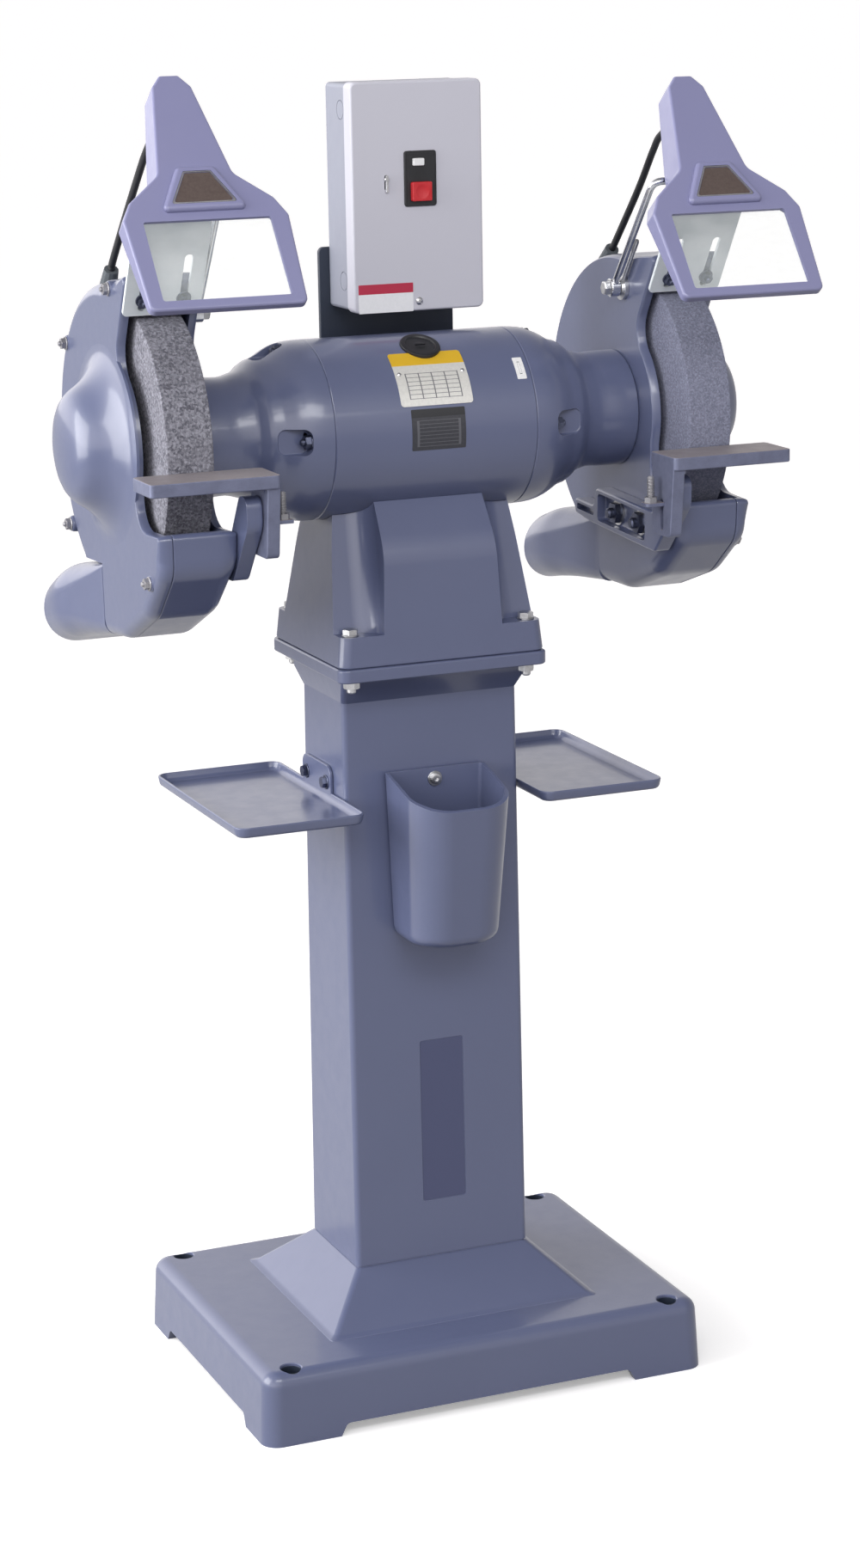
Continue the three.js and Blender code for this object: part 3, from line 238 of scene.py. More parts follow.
class Solid:
    """A closed mesh in millimetres that can be joined, cut and placed."""

    def __init__(self, points: Iterable[Sequence[float]], faces: Iterable[Sequence[int]]) -> None:
        """Make the mesh and turn its faces outward."""
        self.mesh = bpy.data.meshes.new("solid")
        self.mesh.from_pydata([tuple(point) for point in points], [], [tuple(face) for face in faces])
        shape = bmesh.new()
        shape.from_mesh(self.mesh)
        bmesh.ops.remove_doubles(shape, verts=shape.verts, dist=1e-4)
        if shape.calc_volume(signed=True) < 0:
            bmesh.ops.reverse_faces(shape, faces=shape.faces)
        shape.to_mesh(self.mesh)
        shape.free()

    def placed(self, matrix: Matrix) -> "Solid":
        """The same solid moved by a matrix."""
        self.mesh.transform(matrix)
        return self

    def worked(self, prepare: Callable[[bpy.types.Object], None]) -> "Solid":
        """Apply modifiers.

        Args:
            prepare: Puts the modifiers on the working object.

        Returns:
            The solid with the result as its mesh.
        """
        work = bpy.data.objects.new("work", self.mesh)
        bpy.context.scene.collection.objects.link(work)
        prepare(work)
        bpy.context.view_layer.update()
        graph = bpy.context.evaluated_depsgraph_get()
        self.mesh = bpy.data.meshes.new_from_object(work.evaluated_get(graph))
        bpy.data.objects.remove(work)
        return self

    def _with(self, others: Sequence["Solid"], operation: str) -> "Solid":
        """Join, cut or meet with other solids by exact booleans."""
        tools = [bpy.data.objects.new("tool", other.mesh) for other in others]
        for tool in tools:
            bpy.context.scene.collection.objects.link(tool)

        def prepare(work: bpy.types.Object) -> None:
            """Put one boolean per tool on the working object."""
            for tool in tools:
                modifier = work.modifiers.new("boolean", "BOOLEAN")
                modifier.object = tool
                modifier.operation = operation
                modifier.solver = "EXACT"

        self.worked(prepare)
        for tool in tools:
            bpy.data.objects.remove(tool)
        return self

    def join(self, *others: "Solid") -> "Solid":
        """This solid with others added."""
        return self._with(others, "UNION")

    def cut(self, *others: "Solid") -> "Solid":
        """This solid with others taken away."""
        return self._with(others, "DIFFERENCE")

    def meet(self, *others: "Solid") -> "Solid":
        """What this solid shares with others."""
        return self._with(others, "INTERSECT")

    def eased(self, width: float, segments: int = 2, angle: float = 30.0) -> "Solid":
        """Round the sharp edges.

        Args:
            width: Bevel width in millimetres.
            segments: Steps in the rounding.
            angle: Edges sharper than this many degrees are rounded.

        Returns:
            The solid with its edges rounded.
        """

        def prepare(work: bpy.types.Object) -> None:
            """Put the bevel on the working object."""
            modifier = work.modifiers.new("ease", "BEVEL")
            modifier.width = width
            modifier.segments = segments
            modifier.limit_method = "ANGLE"
            modifier.angle_limit = math.radians(angle)
            modifier.use_clamp_overlap = True
            modifier.miter_outer = "MITER_ARC"

        return self.worked(prepare)


def layered(axis: Axis, levels: Sequence[tuple[float, Ring]]) -> Solid:
    """A solid skinned over outlines of one count of points.

    Args:
        axis: The stacking direction.
        levels: Pairs of place along the axis and outline.

    Returns:
        The closed solid with flat end faces.
    """
    count = len(levels[0][1])
    points: list[tuple[float, float, float]] = []
    for at, ring in levels:
        for a, b in ring:
            points.append({Axis.X: (at, a, b), Axis.Y: (a, at, b), Axis.Z: (a, b, at)}[axis])
    faces: list[tuple[int, ...]] = []
    for level in range(len(levels) - 1):
        low, high = level * count, (level + 1) * count
        for near in range(count):
            far = (near + 1) % count
            faces.append((low + near, low + far, high + far, high + near))
    last = (len(levels) - 1) * count
    faces.append(tuple(range(count))[::-1])
    faces.append(tuple(last + index for index in range(count)))
    return Solid(points, faces)


def prism(axis: Axis, ring: Ring, start: float, stop: float) -> Solid:
    """A straight prism of an outline."""
    return layered(axis, [(start, ring), (stop, ring)])


def edge(ring: Ring, at: float, radius: float, inward: int, steps: int = 5,
         shares: Sequence[float] | None = None) -> list[tuple[float, Ring]]:
    """Levels that round an outline's edge at an end face.

    Args:
        ring: The full outline.
        at: Where the end face is.
        radius: Edge radius.
        inward: Which way the solid lies from the face, 1 or -1.
        steps: Levels in the rounding.
        shares: How much of the radius each point takes.

    Returns:
        Levels from the end face to the full outline.
    """
    levels = []
    for step in range(steps + 1):
        angle = math.radians(90.0 * step / steps)
        levels.append((at + inward * radius * (1 - math.cos(angle)),
                       inset(ring, radius * (1 - math.sin(angle)), shares)))
    return levels


def rounded(axis: Axis, ring: Ring, start: float, stop: float, first: float = 0.0, last: float = 0.0,
            steps: int = 4) -> Solid:
    """A prism with rounded end edges.

    Args:
        axis: The prism's direction.
        ring: Its outline.
        start: Where it starts.
        stop: Where it ends.
        first: Edge radius at the start.
        last: Edge radius at the end.
        steps: Levels in each rounding.

    Returns:
        The solid.
    """
    way = 1 if stop > start else -1
    low = edge(ring, start, first, way, steps) if first else [(start, ring)]
    high = edge(ring, stop, last, -way, steps) if last else [(stop, ring)]
    return layered(axis, low + high[::-1])


def block(low: Sequence[float], high: Sequence[float]) -> Solid:
    """A box between two corners."""
    ring = [(low[0], low[1]), (high[0], low[1]), (high[0], high[1]), (low[0], high[1])]
    return prism(Axis.Z, ring, low[2], high[2])


def turned(axis: Axis, profile: Sequence[tuple[float, float]], at: Sequence[float] = (0.0, 0.0, 0.0),
           segments: int = 96) -> Solid:
    """A turned solid.

    Args:
        axis: The turning axis.
        profile: Points (along, radius), closed on the axis or on itself.
        at: A point on the axis.
        segments: Facets round the axis.

    Returns:
        The solid.
    """
    points: list[Vector] = []
    faces: list[tuple[int, ...]] = []
    rows: list[list[int]] = []
    for along, radius in profile:
        if radius < 1e-6:
            rows.append([len(points)] * segments)
            points.append(Vector((along, 0.0, 0.0)))
            continue
        rows.append([len(points) + step for step in range(segments)])
        for step in range(segments):
            angle = 2 * math.pi * step / segments
            points.append(Vector((along, radius * math.cos(angle), radius * math.sin(angle))))
    closed = profile[0][1] > 1e-6
    spans = zip(rows, rows[1:] + rows[:1]) if closed else zip(rows, rows[1:])
    for near, far in spans:
        for step in range(segments):
            after = (step + 1) % segments
            face = dict.fromkeys((near[step], near[after], far[after], far[step]))
            if len(face) > 2:
                faces.append(tuple(face))
    turn = {Axis.X: Matrix(), Axis.Y: Matrix.Rotation(math.pi / 2, 4, "Z"),
            Axis.Z: Matrix.Rotation(-math.pi / 2, 4, "Y")}[axis]
    return Solid(points, faces).placed(Matrix.Translation(at) @ turn)


def outward(sign: int, profile: Iterable[tuple[float, float]]) -> list[tuple[float, float]]:
    """A turned profile (x, radius) given from the middle outward, on the side that a sign names."""
    return [(sign * x, radius) for x, radius in profile]


def cylinder(axis: Axis, start: float, stop: float, radius: float, at: Sequence[float] = (0.0, 0.0, 0.0),
             segments: int = 48) -> Solid:
    """A plain round bar along an axis."""
    return turned(axis, [(start, 0.0), (start, radius), (stop, radius), (stop, 0.0)], at, segments)


def tube(axis: Axis, start: float, stop: float, outer: float, inner: float,
         at: Sequence[float] = (0.0, 0.0, 0.0), segments: int = 96) -> Solid:
    """A hollow round bar along an axis."""
    return turned(axis, [(start, inner), (start, outer), (stop, outer), (stop, inner)], at, segments)


# ---------------------------------------------------------------- finishes


class Graph:
    """A material's nodes, added one call at a time."""

    def __init__(self, name: str) -> None:
        """Start a material that holds only its shader and output."""
        self.material = bpy.data.materials.new(name)
        self.material.use_nodes = True
        self.tree = self.material.node_tree
        self.tree.nodes.clear()
        self.shader = self.tree.nodes.new("ShaderNodeBsdfPrincipled")
        output = self.tree.nodes.new("ShaderNodeOutputMaterial")
        self.tree.links.new(self.shader.outputs[0], output.inputs["Surface"])

    def node(self, kind: str, inputs: dict | None = None, **settings: object) -> bpy.types.NodeSocket:
        """Add a node.

        Args:
            kind: The node's type without its ShaderNode prefix.
            inputs: Values or output sockets by input name or index.
            settings: Properties of the node itself.

        Returns:
            The node's first output.
        """
        made = self.tree.nodes.new("ShaderNode" + kind)
        for key, value in settings.items():
            setattr(made, key, value)
        for key, value in (inputs or {}).items():
            self.feed(made.inputs[key], value)
        return made.outputs[0]

    def feed(self, socket: bpy.types.NodeSocket, value: object) -> None:
        """Link an output to a socket, or set the socket's own value."""
        if isinstance(value, bpy.types.NodeSocket):
            self.tree.links.new(value, socket)
        else:
            socket.default_value = value

    def place(self, scale: Sequence[float] = (1.0, 1.0, 1.0), turn: Sequence[float] = (0.0, 0.0, 0.0)
              ) -> bpy.types.NodeSocket:
        """The piece's own coordinates in metres, stretched and turned."""
        coordinates = self.tree.nodes.new("ShaderNodeTexCoord").outputs["Object"]
        return self.node("Mapping", {"Vector": coordinates, "Scale": scale, "Rotation": turn})

    def noise(self, at: bpy.types.NodeSocket, scale: float, detail: float = 3.0, rough: float = 0.55
              ) -> bpy.types.NodeSocket:
        """A noise value of a scale in waves per metre."""
        return self.node("TexNoise", {"Vector": at, "Scale": scale, "Detail": detail, "Roughness": rough})

    def span(self, value: bpy.types.NodeSocket, low: float, high: float, at: tuple[float, float] = (0.3, 0.7)
             ) -> bpy.types.NodeSocket:
        """A value stretched from one range to another and held at its ends."""
        return self.node("MapRange", {"Value": value, "From Min": at[0], "From Max": at[1], "To Min": low,
                                      "To Max": high})

    def mix(self, share: object, first: object, second: object) -> bpy.types.NodeSocket:
        """Two colours mixed by a share."""
        made = self.tree.nodes.new("ShaderNodeMix")
        made.data_type = "RGBA"
        self.feed(made.inputs["Factor"], share)
        self.feed(made.inputs[6], first)
        self.feed(made.inputs[7], second)
        return made.outputs[2]

    def worn(self, reach: float) -> bpy.types.NodeSocket:
        """How much a point lies on an edge, from 0 to 1, for edges within a reach in metres."""
        flat = self.tree.nodes.new("ShaderNodeNewGeometry").outputs["Normal"]
        soft = self.node("Bevel", {"Radius": reach}, samples=4)
        self.node("VectorMath", {0: flat, 1: soft}, operation="DOT_PRODUCT")
        return self.node("MapRange", {"Value": self.tree.nodes[-1].outputs["Value"], "From Min": 0.97,
                                      "From Max": 0.86})

    def bump(self, layers: Sequence[tuple[bpy.types.NodeSocket, float, float]]) -> None:
        """Stack bumps on the shader's normal.

        Args:
            layers: Height socket, strength and distance in metres of each bump.
        """
        normal: bpy.types.NodeSocket | None = None
        for height, strength, distance in layers:
            inputs = {"Height": height, "Strength": strength, "Distance": distance}
            if normal is not None:
                inputs["Normal"] = normal
            normal = self.node("Bump", inputs)
        self.tree.links.new(normal, self.shader.inputs["Normal"])

    def finish(self, **values: object) -> bpy.types.Material:
        """Set the shader's sockets.

        Args:
            values: Socket names with underscores for spaces.

        Returns:
            The finished material.
        """
        for key, value in values.items():
            self.feed(self.shader.inputs[key.replace("_", " ")], value)
        return self.material


Colour = tuple[float, float, float, float]


def shade(code: int) -> Colour:
    """A linear colour from a display colour such as 0x68718f."""
    parts = ((code >> 16 & 255) / 255, (code >> 8 & 255) / 255, (code & 255) / 255)
    return (*(part / 12.92 if part < 0.04045 else ((part + 0.055) / 1.055) ** 2.4 for part in parts), 1.0)


@dataclass(frozen=True)
class Enamel:
    """Sprayed enamel on cast or sheet metal."""

    name: str
    colour: int
    # Lighter tone for random patches and specks, and also the colour of the painted edge highlight.
    dust: int
    rough: tuple[float, float] = (0.34, 0.46)
    peel: float = 0.12
    cast: float = 0.10
    coat: float = 0.25

    def material(self) -> bpy.types.Material:
        """Build the material: two tones, cast waviness, orange peel and thin edges painted lighter as a
        painted highlight.
        """
        graph = Graph(self.name)
        at = graph.place()
        broad = graph.noise(at, 5.0, 4.0)
        fine = graph.noise(at, 160.0, 4.0, 0.6)
        peel = graph.noise(at, 850.0, 2.0)
        pits = graph.node("TexVoronoi", {"Vector": at, "Scale": 420.0, "Randomness": 1.0})
        base = graph.mix(graph.span(broad, 0.0, 0.12), shade(self.colour), shade(self.dust))
        speck = graph.mix(graph.span(fine, 0.0, 0.06, (0.55, 0.85)), base, shade(self.dust))
        # Painted highlight: a thin, broken band along rounded edges is mixed toward the lighter dust tone,
        # standing in for the light that the edges catch.
        edge = graph.node("Math", {0: graph.worn(0.0016), 1: graph.span(fine, 0.1, 0.5)},
                          operation="MULTIPLY")
        tone = graph.mix(edge, speck, shade(self.dust))
        rough = graph.span(graph.noise(at, 46.0, 5.0), self.rough[0], self.rough[1])
        graph.bump([(fine, self.cast, 0.0006), (peel, self.peel, 0.00025), (pits, 0.03, 0.0002)])
        return graph.finish(Base_Color=tone, Roughness=rough, Coat_Weight=self.coat, Coat_Roughness=0.14)


@dataclass(frozen=True)
class Steel:
    """Bright, ground or blackened steel with fine lines along one way."""

    name: str
    colour: int
    tarnish: int
    rough: tuple[float, float] = (0.22, 0.36)
    lines: tuple[float, float, float] = (1.0, 1.0, 1.0)
    line_depth: float = 0.10
    metal: float = 1.0
    ground: int | None = None

    def material(self) -> bpy.types.Material:
        """Build the material: tarnish patches, brushed lines, uneven gloss and any ground upper face, whose
        tone also paints a warm reflection of the wheel.
        """
        graph = Graph(self.name)
        at = graph.place()
        along = graph.place(self.lines)
        patches = graph.noise(at, 38.0, 5.0, 0.62)
        lines = graph.noise(along, 900.0, 2.0, 0.7)
        tone = graph.mix(graph.span(patches, 0.0, 0.75, (0.42, 0.7)), shade(self.colour), shade(self.tarnish))
        streaked = graph.mix(graph.span(lines, 0.0, 0.35), tone, shade(self.tarnish))
        # Faces that point up take the ground tone: a real ground finish, tinted warm as a painted reflection
        # of the wheel.
        if self.ground is not None:
            facing = graph.tree.nodes.new("ShaderNodeNewGeometry").outputs["Normal"]
            graph.node("SeparateXYZ", {"Vector": facing})
            upward = graph.span(graph.tree.nodes[-1].outputs["Z"], 0.0, 1.0, (0.6, 0.9))
            brushed = graph.mix(graph.span(lines, 0.0, 0.5), shade(self.ground), shade(self.tarnish))
            streaked = graph.mix(upward, streaked, brushed)
        rough = graph.span(patches, self.rough[0], self.rough[1])
        graph.bump([(lines, self.line_depth, 0.0003), (graph.noise(at, 1500.0, 2.0), 0.05, 0.0002)])
        return graph.finish(Base_Color=streaked, Roughness=rough, Metallic=self.metal)


@dataclass(frozen=True)
class Stone:
    """Bonded abrasive grain."""

    name: str
    dark: int
    light: int
    grain: float
    depth: float

    def material(self) -> bpy.types.Material:
        """Build the material: separate grains in a darker bond, with pores between them."""
        graph = Graph(self.name)
        at = graph.place()
        grains = graph.node("TexVoronoi", {"Vector": at, "Scale": self.grain, "Randomness": 1.0})
        cells = graph.tree.nodes[-1].outputs["Color"]
        pores = graph.noise(at, self.grain * 0.9, 3.0, 0.65)
        value = graph.node("SeparateColor", {"Color": cells})
        mixed = graph.node("Math", {0: graph.span(value, 0.0, 0.62, (0.1, 0.95)),
                                    1: graph.span(pores, -0.3, 0.38)}, operation="ADD", use_clamp=True)
        tone = graph.mix(mixed, shade(self.dark), shade(self.light))
        cloudy = graph.mix(graph.span(graph.noise(at, 22.0, 4.0), 0.0, 0.22), tone, shade(self.light))
        graph.bump([(grains, self.depth, 0.0010), (pores, self.depth, 0.0012)])
        return graph.finish(Base_Color=cloudy, Roughness=0.92)


@dataclass(frozen=True)
class Moulding:
    """Moulded plastic or rubber."""

    name: str
    colour: int
    worn: int
    rough: tuple[float, float] = (0.36, 0.5)
    pebble: float = 0.08

    def material(self) -> bpy.types.Material:
        """Build the material: fine moulded grain, rubbed edges and fingered gloss."""
        graph = Graph(self.name)
        at = graph.place()
        fine = graph.noise(at, 1300.0, 3.0)
        smears = graph.noise(at, 60.0, 4.0)
        rubbed = graph.node("Math", {0: graph.worn(0.0008), 1: 0.4}, operation="MULTIPLY")
        tone = graph.mix(graph.span(smears, 0.0, 0.2), shade(self.colour), shade(self.worn))
        edged = graph.mix(rubbed, tone, shade(self.worn))
        graph.bump([(fine, self.pebble, 0.0002)])
        return graph.finish(Base_Color=edged, Roughness=graph.span(smears, self.rough[0], self.rough[1]))


@dataclass(frozen=True)
class Pane:
    """Clear safety glass with a green edge and a faint film."""

    name: str
    tint: int = 0xe6f2ec

    def material(self) -> bpy.types.Material:
        """Build the material: a thin film with wiping marks over what lies behind it."""
        graph = Graph(self.name)
        at = graph.place((1.0, 3.0, 1.0))
        film = graph.noise(at, 24.0, 5.0, 0.6)
        tone = graph.mix(graph.span(film, 0.0, 0.6), shade(self.tint), shade(0xffffff))
        return graph.finish(Base_Color=tone, Roughness=graph.span(film, 0.04, 0.12),
                            Alpha=graph.span(film, 0.08, 0.16), IOR=1.45)


@dataclass(frozen=True)
class BulbGlass:
    """Frosted glass of a tubular bulb."""

    name: str

    def material(self) -> bpy.types.Material:
        """Build the material: milky skin with a soft mottle."""
        graph = Graph(self.name)
        frost = graph.noise(graph.place(), 240.0, 3.0)
        tone = graph.mix(graph.span(frost, 0.0, 0.4), shade(0xf4f3ee), shade(0xe4e6e4))
        graph.bump([(frost, 0.05, 0.0002)])
        return graph.finish(Base_Color=tone, Roughness=graph.span(frost, 0.25, 0.4), Subsurface_Weight=0.2)


@dataclass(frozen=True)
class Plate:
    """A printed or bare plate with a band along its top and ruled lines under it."""

    name: str
    ground: int
    band: int
    band_from: float
    line: int
    rows: float = 0.0
    columns: float = 0.0
    frame: tuple[float, float, float, float] = (0.1, 0.9, 0.1, 0.7)
    metal: float = 0.0
    rough: float = 0.4

    def material(self) -> bpy.types.Material:
        """Build the material on the piece's own flat map: ground, band, ruled box and scuffs."""
        graph = Graph(self.name)
        flat = graph.tree.nodes.new("ShaderNodeUVMap").outputs["UV"]
        split = graph.tree.nodes.new("ShaderNodeSeparateXYZ")
        graph.tree.links.new(flat, split.inputs[0])
        across, up = split.outputs["X"], split.outputs["Y"]
        at = graph.place()
        scuffs = graph.noise(at, 320.0, 5.0, 0.7)
        ground = graph.mix(graph.span(scuffs, 0.0, 0.2), shade(self.ground), shade(self.line))
        banded = graph.mix(graph.node("Math", {0: up, 1: self.band_from}, operation="GREATER_THAN"),
                           ground, shade(self.band))
        tone = banded
        if self.rows:
            low, high, bottom, top = self.frame
            inside = self.within(graph, across, low, high, up, bottom, top)
            ruled = graph.node("Math", {0: self.rule(graph, up, bottom, top, self.rows),
                                        1: self.rule(graph, across, low, high, self.columns)},
                               operation="MAXIMUM")
            drawn = graph.node("Math", {0: ruled, 1: inside}, operation="MULTIPLY")
            tone = graph.mix(drawn, banded, shade(self.line))
        graph.bump([(scuffs, 0.06, 0.0002)])
        rough = graph.span(scuffs, self.rough - 0.08, self.rough + 0.1)
        return graph.finish(Base_Color=tone, Roughness=rough, Metallic=self.metal)

    @staticmethod
    def rule(graph: Graph, value: bpy.types.NodeSocket, low: float, high: float, count: float
             ) -> bpy.types.NodeSocket:
        """Thin lines that split a stretch into a count of parts."""
        scaled = graph.node("MapRange", {"Value": value, "From Min": low, "From Max": high, "To Min": 0.0,
                                         "To Max": count}, clamp=False)
        wave = graph.node("Math", {0: scaled, 1: 0.5}, operation="PINGPONG")
        return graph.node("Math", {0: wave, 1: 0.045 * max(count / 4, 1.0)}, operation="LESS_THAN")

    @staticmethod
    def within(graph: Graph, across: bpy.types.NodeSocket, low: float, high: float, up: bpy.types.NodeSocket,
               bottom: float, top: float) -> bpy.types.NodeSocket:
        """One inside a box on the flat map and zero outside it."""
        share = None
        for value, least, most in ((across, low, high), (up, bottom, top)):
            for edge_at, operation in ((least - 0.008, "GREATER_THAN"), (most + 0.008, "LESS_THAN")):
                test = graph.node("Math", {0: value, 1: edge_at}, operation=operation)
                if share is not None:
                    test = graph.node("Math", {0: share, 1: test}, operation="MULTIPLY")
                share = test
        return share


FINISHES = {
    "paint": Enamel("blue_grey_enamel", 0x565d7a, 0x6a7190, (0.28, 0.38), 0.05, 0.05, 0.6),
    "lamp_paint": Enamel("lamp_enamel", 0x7c7da0, 0x8f90b0, (0.34, 0.44), 0.04, 0.03),
    "box_paint": Enamel("starter_box_enamel", 0xb9b9c3, 0xc6c6cf, (0.45, 0.55), 0.03, 0.02, 0.0),
    "bracket_paint": Enamel("bracket_enamel", 0x232b3a, 0x3a4356, (0.4, 0.5), 0.08, 0.05, 0.1),
    "bolt": Steel("zinc_plated_bolt", 0xd6d7da, 0x9a9996, (0.26, 0.4)),
    "dark_bolt": Steel("blackened_bolt", 0x6a6f84, 0x3c404f, (0.35, 0.5)),
    "spark_steel": Steel("mill_finished_plate", 0xe9eff1, 0xdde5e8, (0.3, 0.4), (0.15, 6.0, 0.15), 0.03,
                         0.1),
    # The rest's upper faces: ground steel in a warm tint that paints the wheel's reflection.
    "rest_steel": Steel("ground_rest_top", 0x737890, 0x5c6076, (0.38, 0.55), (0.2, 6.0, 6.0), 0.06, 0.35,
                        0x9a9190),
    "chrome": Steel("bright_rod", 0xe2e3e6, 0xa9adb4, (0.1, 0.2), (1.0, 1.0, 8.0), 0.03),
    "coarse_stone": Stone("coarse_grain", 0x4a4a54, 0x9a9aa4, 420.0, 0.35),
    "fine_stone": Stone("fine_grain", 0x646779, 0x8c8fa3, 560.0, 0.26),
    "copper": Steel("lacquered_copper", 0xb46a3a, 0x7c3f22, (0.3, 0.45), (6.0, 1.0, 1.0), 0.2),
    "black": Moulding("black_moulding", 0x101115, 0x2b2d33),
    "white": Moulding("white_moulding", 0xd9dadb, 0xf4f4f4),
    "red": Moulding("red_moulding", 0xb5161f, 0xd9545a),
    "rubber": Moulding("cable_rubber", 0x17181c, 0x33353b, (0.45, 0.6), 0.14),
    "glass": Pane("clear_pane"),
    "bulb": BulbGlass("frosted_bulb"),
    "rating": Plate("rating_plate", 0xdad9d4, 0xe0b52c, 0.72, 0x77777b, 6.0, 4.0,
                    (0.14, 0.86, 0.12, 0.56), 0.3),
    "black_label": Plate("dark_label", 0x2b2c33, 0x1c1d22, 0.8, 0x55565c, 7.0, 1.0, (0.1, 0.9, 0.1, 0.72)),
    "small_label": Plate("small_label", 0xe9e9e9, 0xe9e9e9, 2.0, 0x55565c, 1.0, 1.0,
                         (0.38, 0.62, 0.22, 0.78)),
    "box_label": Plate("box_label", 0xdedfe2, 0xa92340, 0.66, 0xb6b8bd),
    "name_place": Plate("dark_name_place", 0x474c6a, 0x474c6a, 2.0, 0x4f5474, rough=0.36),
    "nose_place": Plate("bronze_place", 0x5b4f4c, 0x5b4f4c, 2.0, 0x8d7f76, metal=0.4, rough=0.42),
    "dull_steel": Steel("dull_steel", 0xa6a5a8, 0x77777d, (0.3, 0.45), metal=0.6),
    # A darker copy of the lid's enamel for the box's sides: painted shade.
    "shaded_case_paint": Enamel("starter_case_enamel", 0x8a8d9a, 0x989ba8, (0.45, 0.55), 0.03, 0.02, 0.0),
}


# ---------------------------------------------------------------- geometry nodes


class Tree:
    """A Geometry Nodes tree with named inputs."""

    def __init__(self, name: str, sockets: Sequence[tuple[str, str, object]]) -> None:
        """Make the tree and its inputs, each a name, a socket type and a value."""
        self.group = bpy.data.node_groups.new(name, "GeometryNodeTree")
        face = self.group.interface
        face.new_socket("Geometry", in_out="OUTPUT", socket_type="NodeSocketGeometry")
        face.new_socket("Geometry", in_out="INPUT", socket_type="NodeSocketGeometry")
        self.names: dict[str, str] = {}
        for label, kind, value in sockets:
            made = face.new_socket(label, in_out="INPUT", socket_type="NodeSocket" + kind)
            if value is not None:
                made.default_value = value
            self.names[label] = made.identifier
        self.start = self.group.nodes.new("NodeGroupInput")
        self.end = self.group.nodes.new("NodeGroupOutput")

    def given(self, label: str) -> bpy.types.NodeSocket:
        """The tree's own input of a name."""
        return self.start.outputs[label]

    def node(self, kind: str, inputs: dict | None = None, output: object = 0, **settings: object
             ) -> bpy.types.NodeSocket:
        """Add a node.

        Args:
            kind: The node's full type name.
            inputs: Values or output sockets by input name or index.
            output: Which output to return.
            settings: Properties of the node itself.

        Returns:
            The chosen output.
        """
        made = self.group.nodes.new(kind)
        for key, value in settings.items():
            setattr(made, key, value)
        for key, value in (inputs or {}).items():
            if isinstance(value, bpy.types.NodeSocket):
                self.group.links.new(value, made.inputs[key])
            else:
                made.inputs[key].default_value = value
        return made.outputs[output]

    def close(self, geometry: bpy.types.NodeSocket) -> None:
        """End the tree in real geometry with its material."""
        real = self.node("GeometryNodeRealizeInstances", {"Geometry": geometry})
        dressed = self.node("GeometryNodeSetMaterial", {"Geometry": real, "Material": self.given("Material")})
        self.group.links.new(dressed, self.end.inputs[0])

    def run(self, host: bpy.types.Object, **values: object) -> Solid:
        """Run the tree on an object.

        Args:
            host: The object that carries the points or the line; it is removed.
            values: The tree's inputs, with underscores for spaces.

        Returns:
            What the tree made, in millimetres.
        """
        modifier = host.modifiers.new("tree", "NODES")
        modifier.node_group = self.group
        for key, value in values.items():
            modifier[self.names[key.replace("_", " ")]] = value
        bpy.context.view_layer.update()
        graph = bpy.context.evaluated_depsgraph_get()
        made = Solid((), ())
        made.mesh = bpy.data.meshes.new_from_object(host.evaluated_get(graph))
        bpy.data.objects.remove(host)
        return made


def hosted(mesh: bpy.types.Mesh) -> bpy.types.Object:
    """A working object for a mesh."""
    made = bpy.data.objects.new("host", mesh)
    bpy.context.scene.collection.objects.link(made)
    return made


class ScatterTree(Tree):
    """Sets a head on every point, turned to the point's own facing and spun by a seeded angle."""

    def __init__(self) -> None:
        """Build the tree."""
        super().__init__("set_heads", [("Head", "Object", None), ("Spin", "Float", 3.0), ("Seed", "Int", 4),
                                       ("Material", "Material", None)])
        facing = self.node("GeometryNodeInputNamedAttribute", {"Name": "facing"}, data_type="FLOAT_VECTOR")
        turn = self.node("FunctionNodeAlignRotationToVector", {"Vector": facing}, axis="Z")
        angle = self.node("FunctionNodeRandomValue", {"Max": self.given("Spin"), "Seed": self.given("Seed")},
                          output=1, data_type="FLOAT")
        axis = self.node("ShaderNodeCombineXYZ", {"Z": angle})
        spun = self.node("FunctionNodeRotateRotation", {"Rotation": turn, "Rotate By": axis},
                         rotation_space="LOCAL")
        head = self.node("GeometryNodeObjectInfo", {"Object": self.given("Head")}, output="Geometry")
        points = self.node("GeometryNodeInstanceOnPoints", {
            "Points": self.given("Geometry"), "Instance": head, "Rotation": spun})
        self.close(points)

    def at(self, points: Sequence[Sequence[float]], facings: Sequence[Sequence[float]], head: Solid,
           material: bpy.types.Material, spin: float = 3.0, seed: int = 4) -> Solid:
        """Heads at points.

        Args:
            points: Where they sit.
            facings: Which way each stands.
            head: The head, standing along z.
            material: Its finish.
            spin: The largest seeded turn about its own axis.
            seed: The seed of those turns.

        Returns:
            All heads as one solid.
        """
        mesh = bpy.data.meshes.new("points")
        mesh.from_pydata([tuple(point) for point in points], [], [])
        facing = mesh.attributes.new("facing", "FLOAT_VECTOR", "POINT")
        for index, way in enumerate(facings):
            facing.data[index].vector = way
        shape = hosted(head.mesh)
        made = self.run(hosted(mesh), Head=shape, Spin=spin, Seed=seed, Material=material)
        bpy.data.objects.remove(shape)
        return made


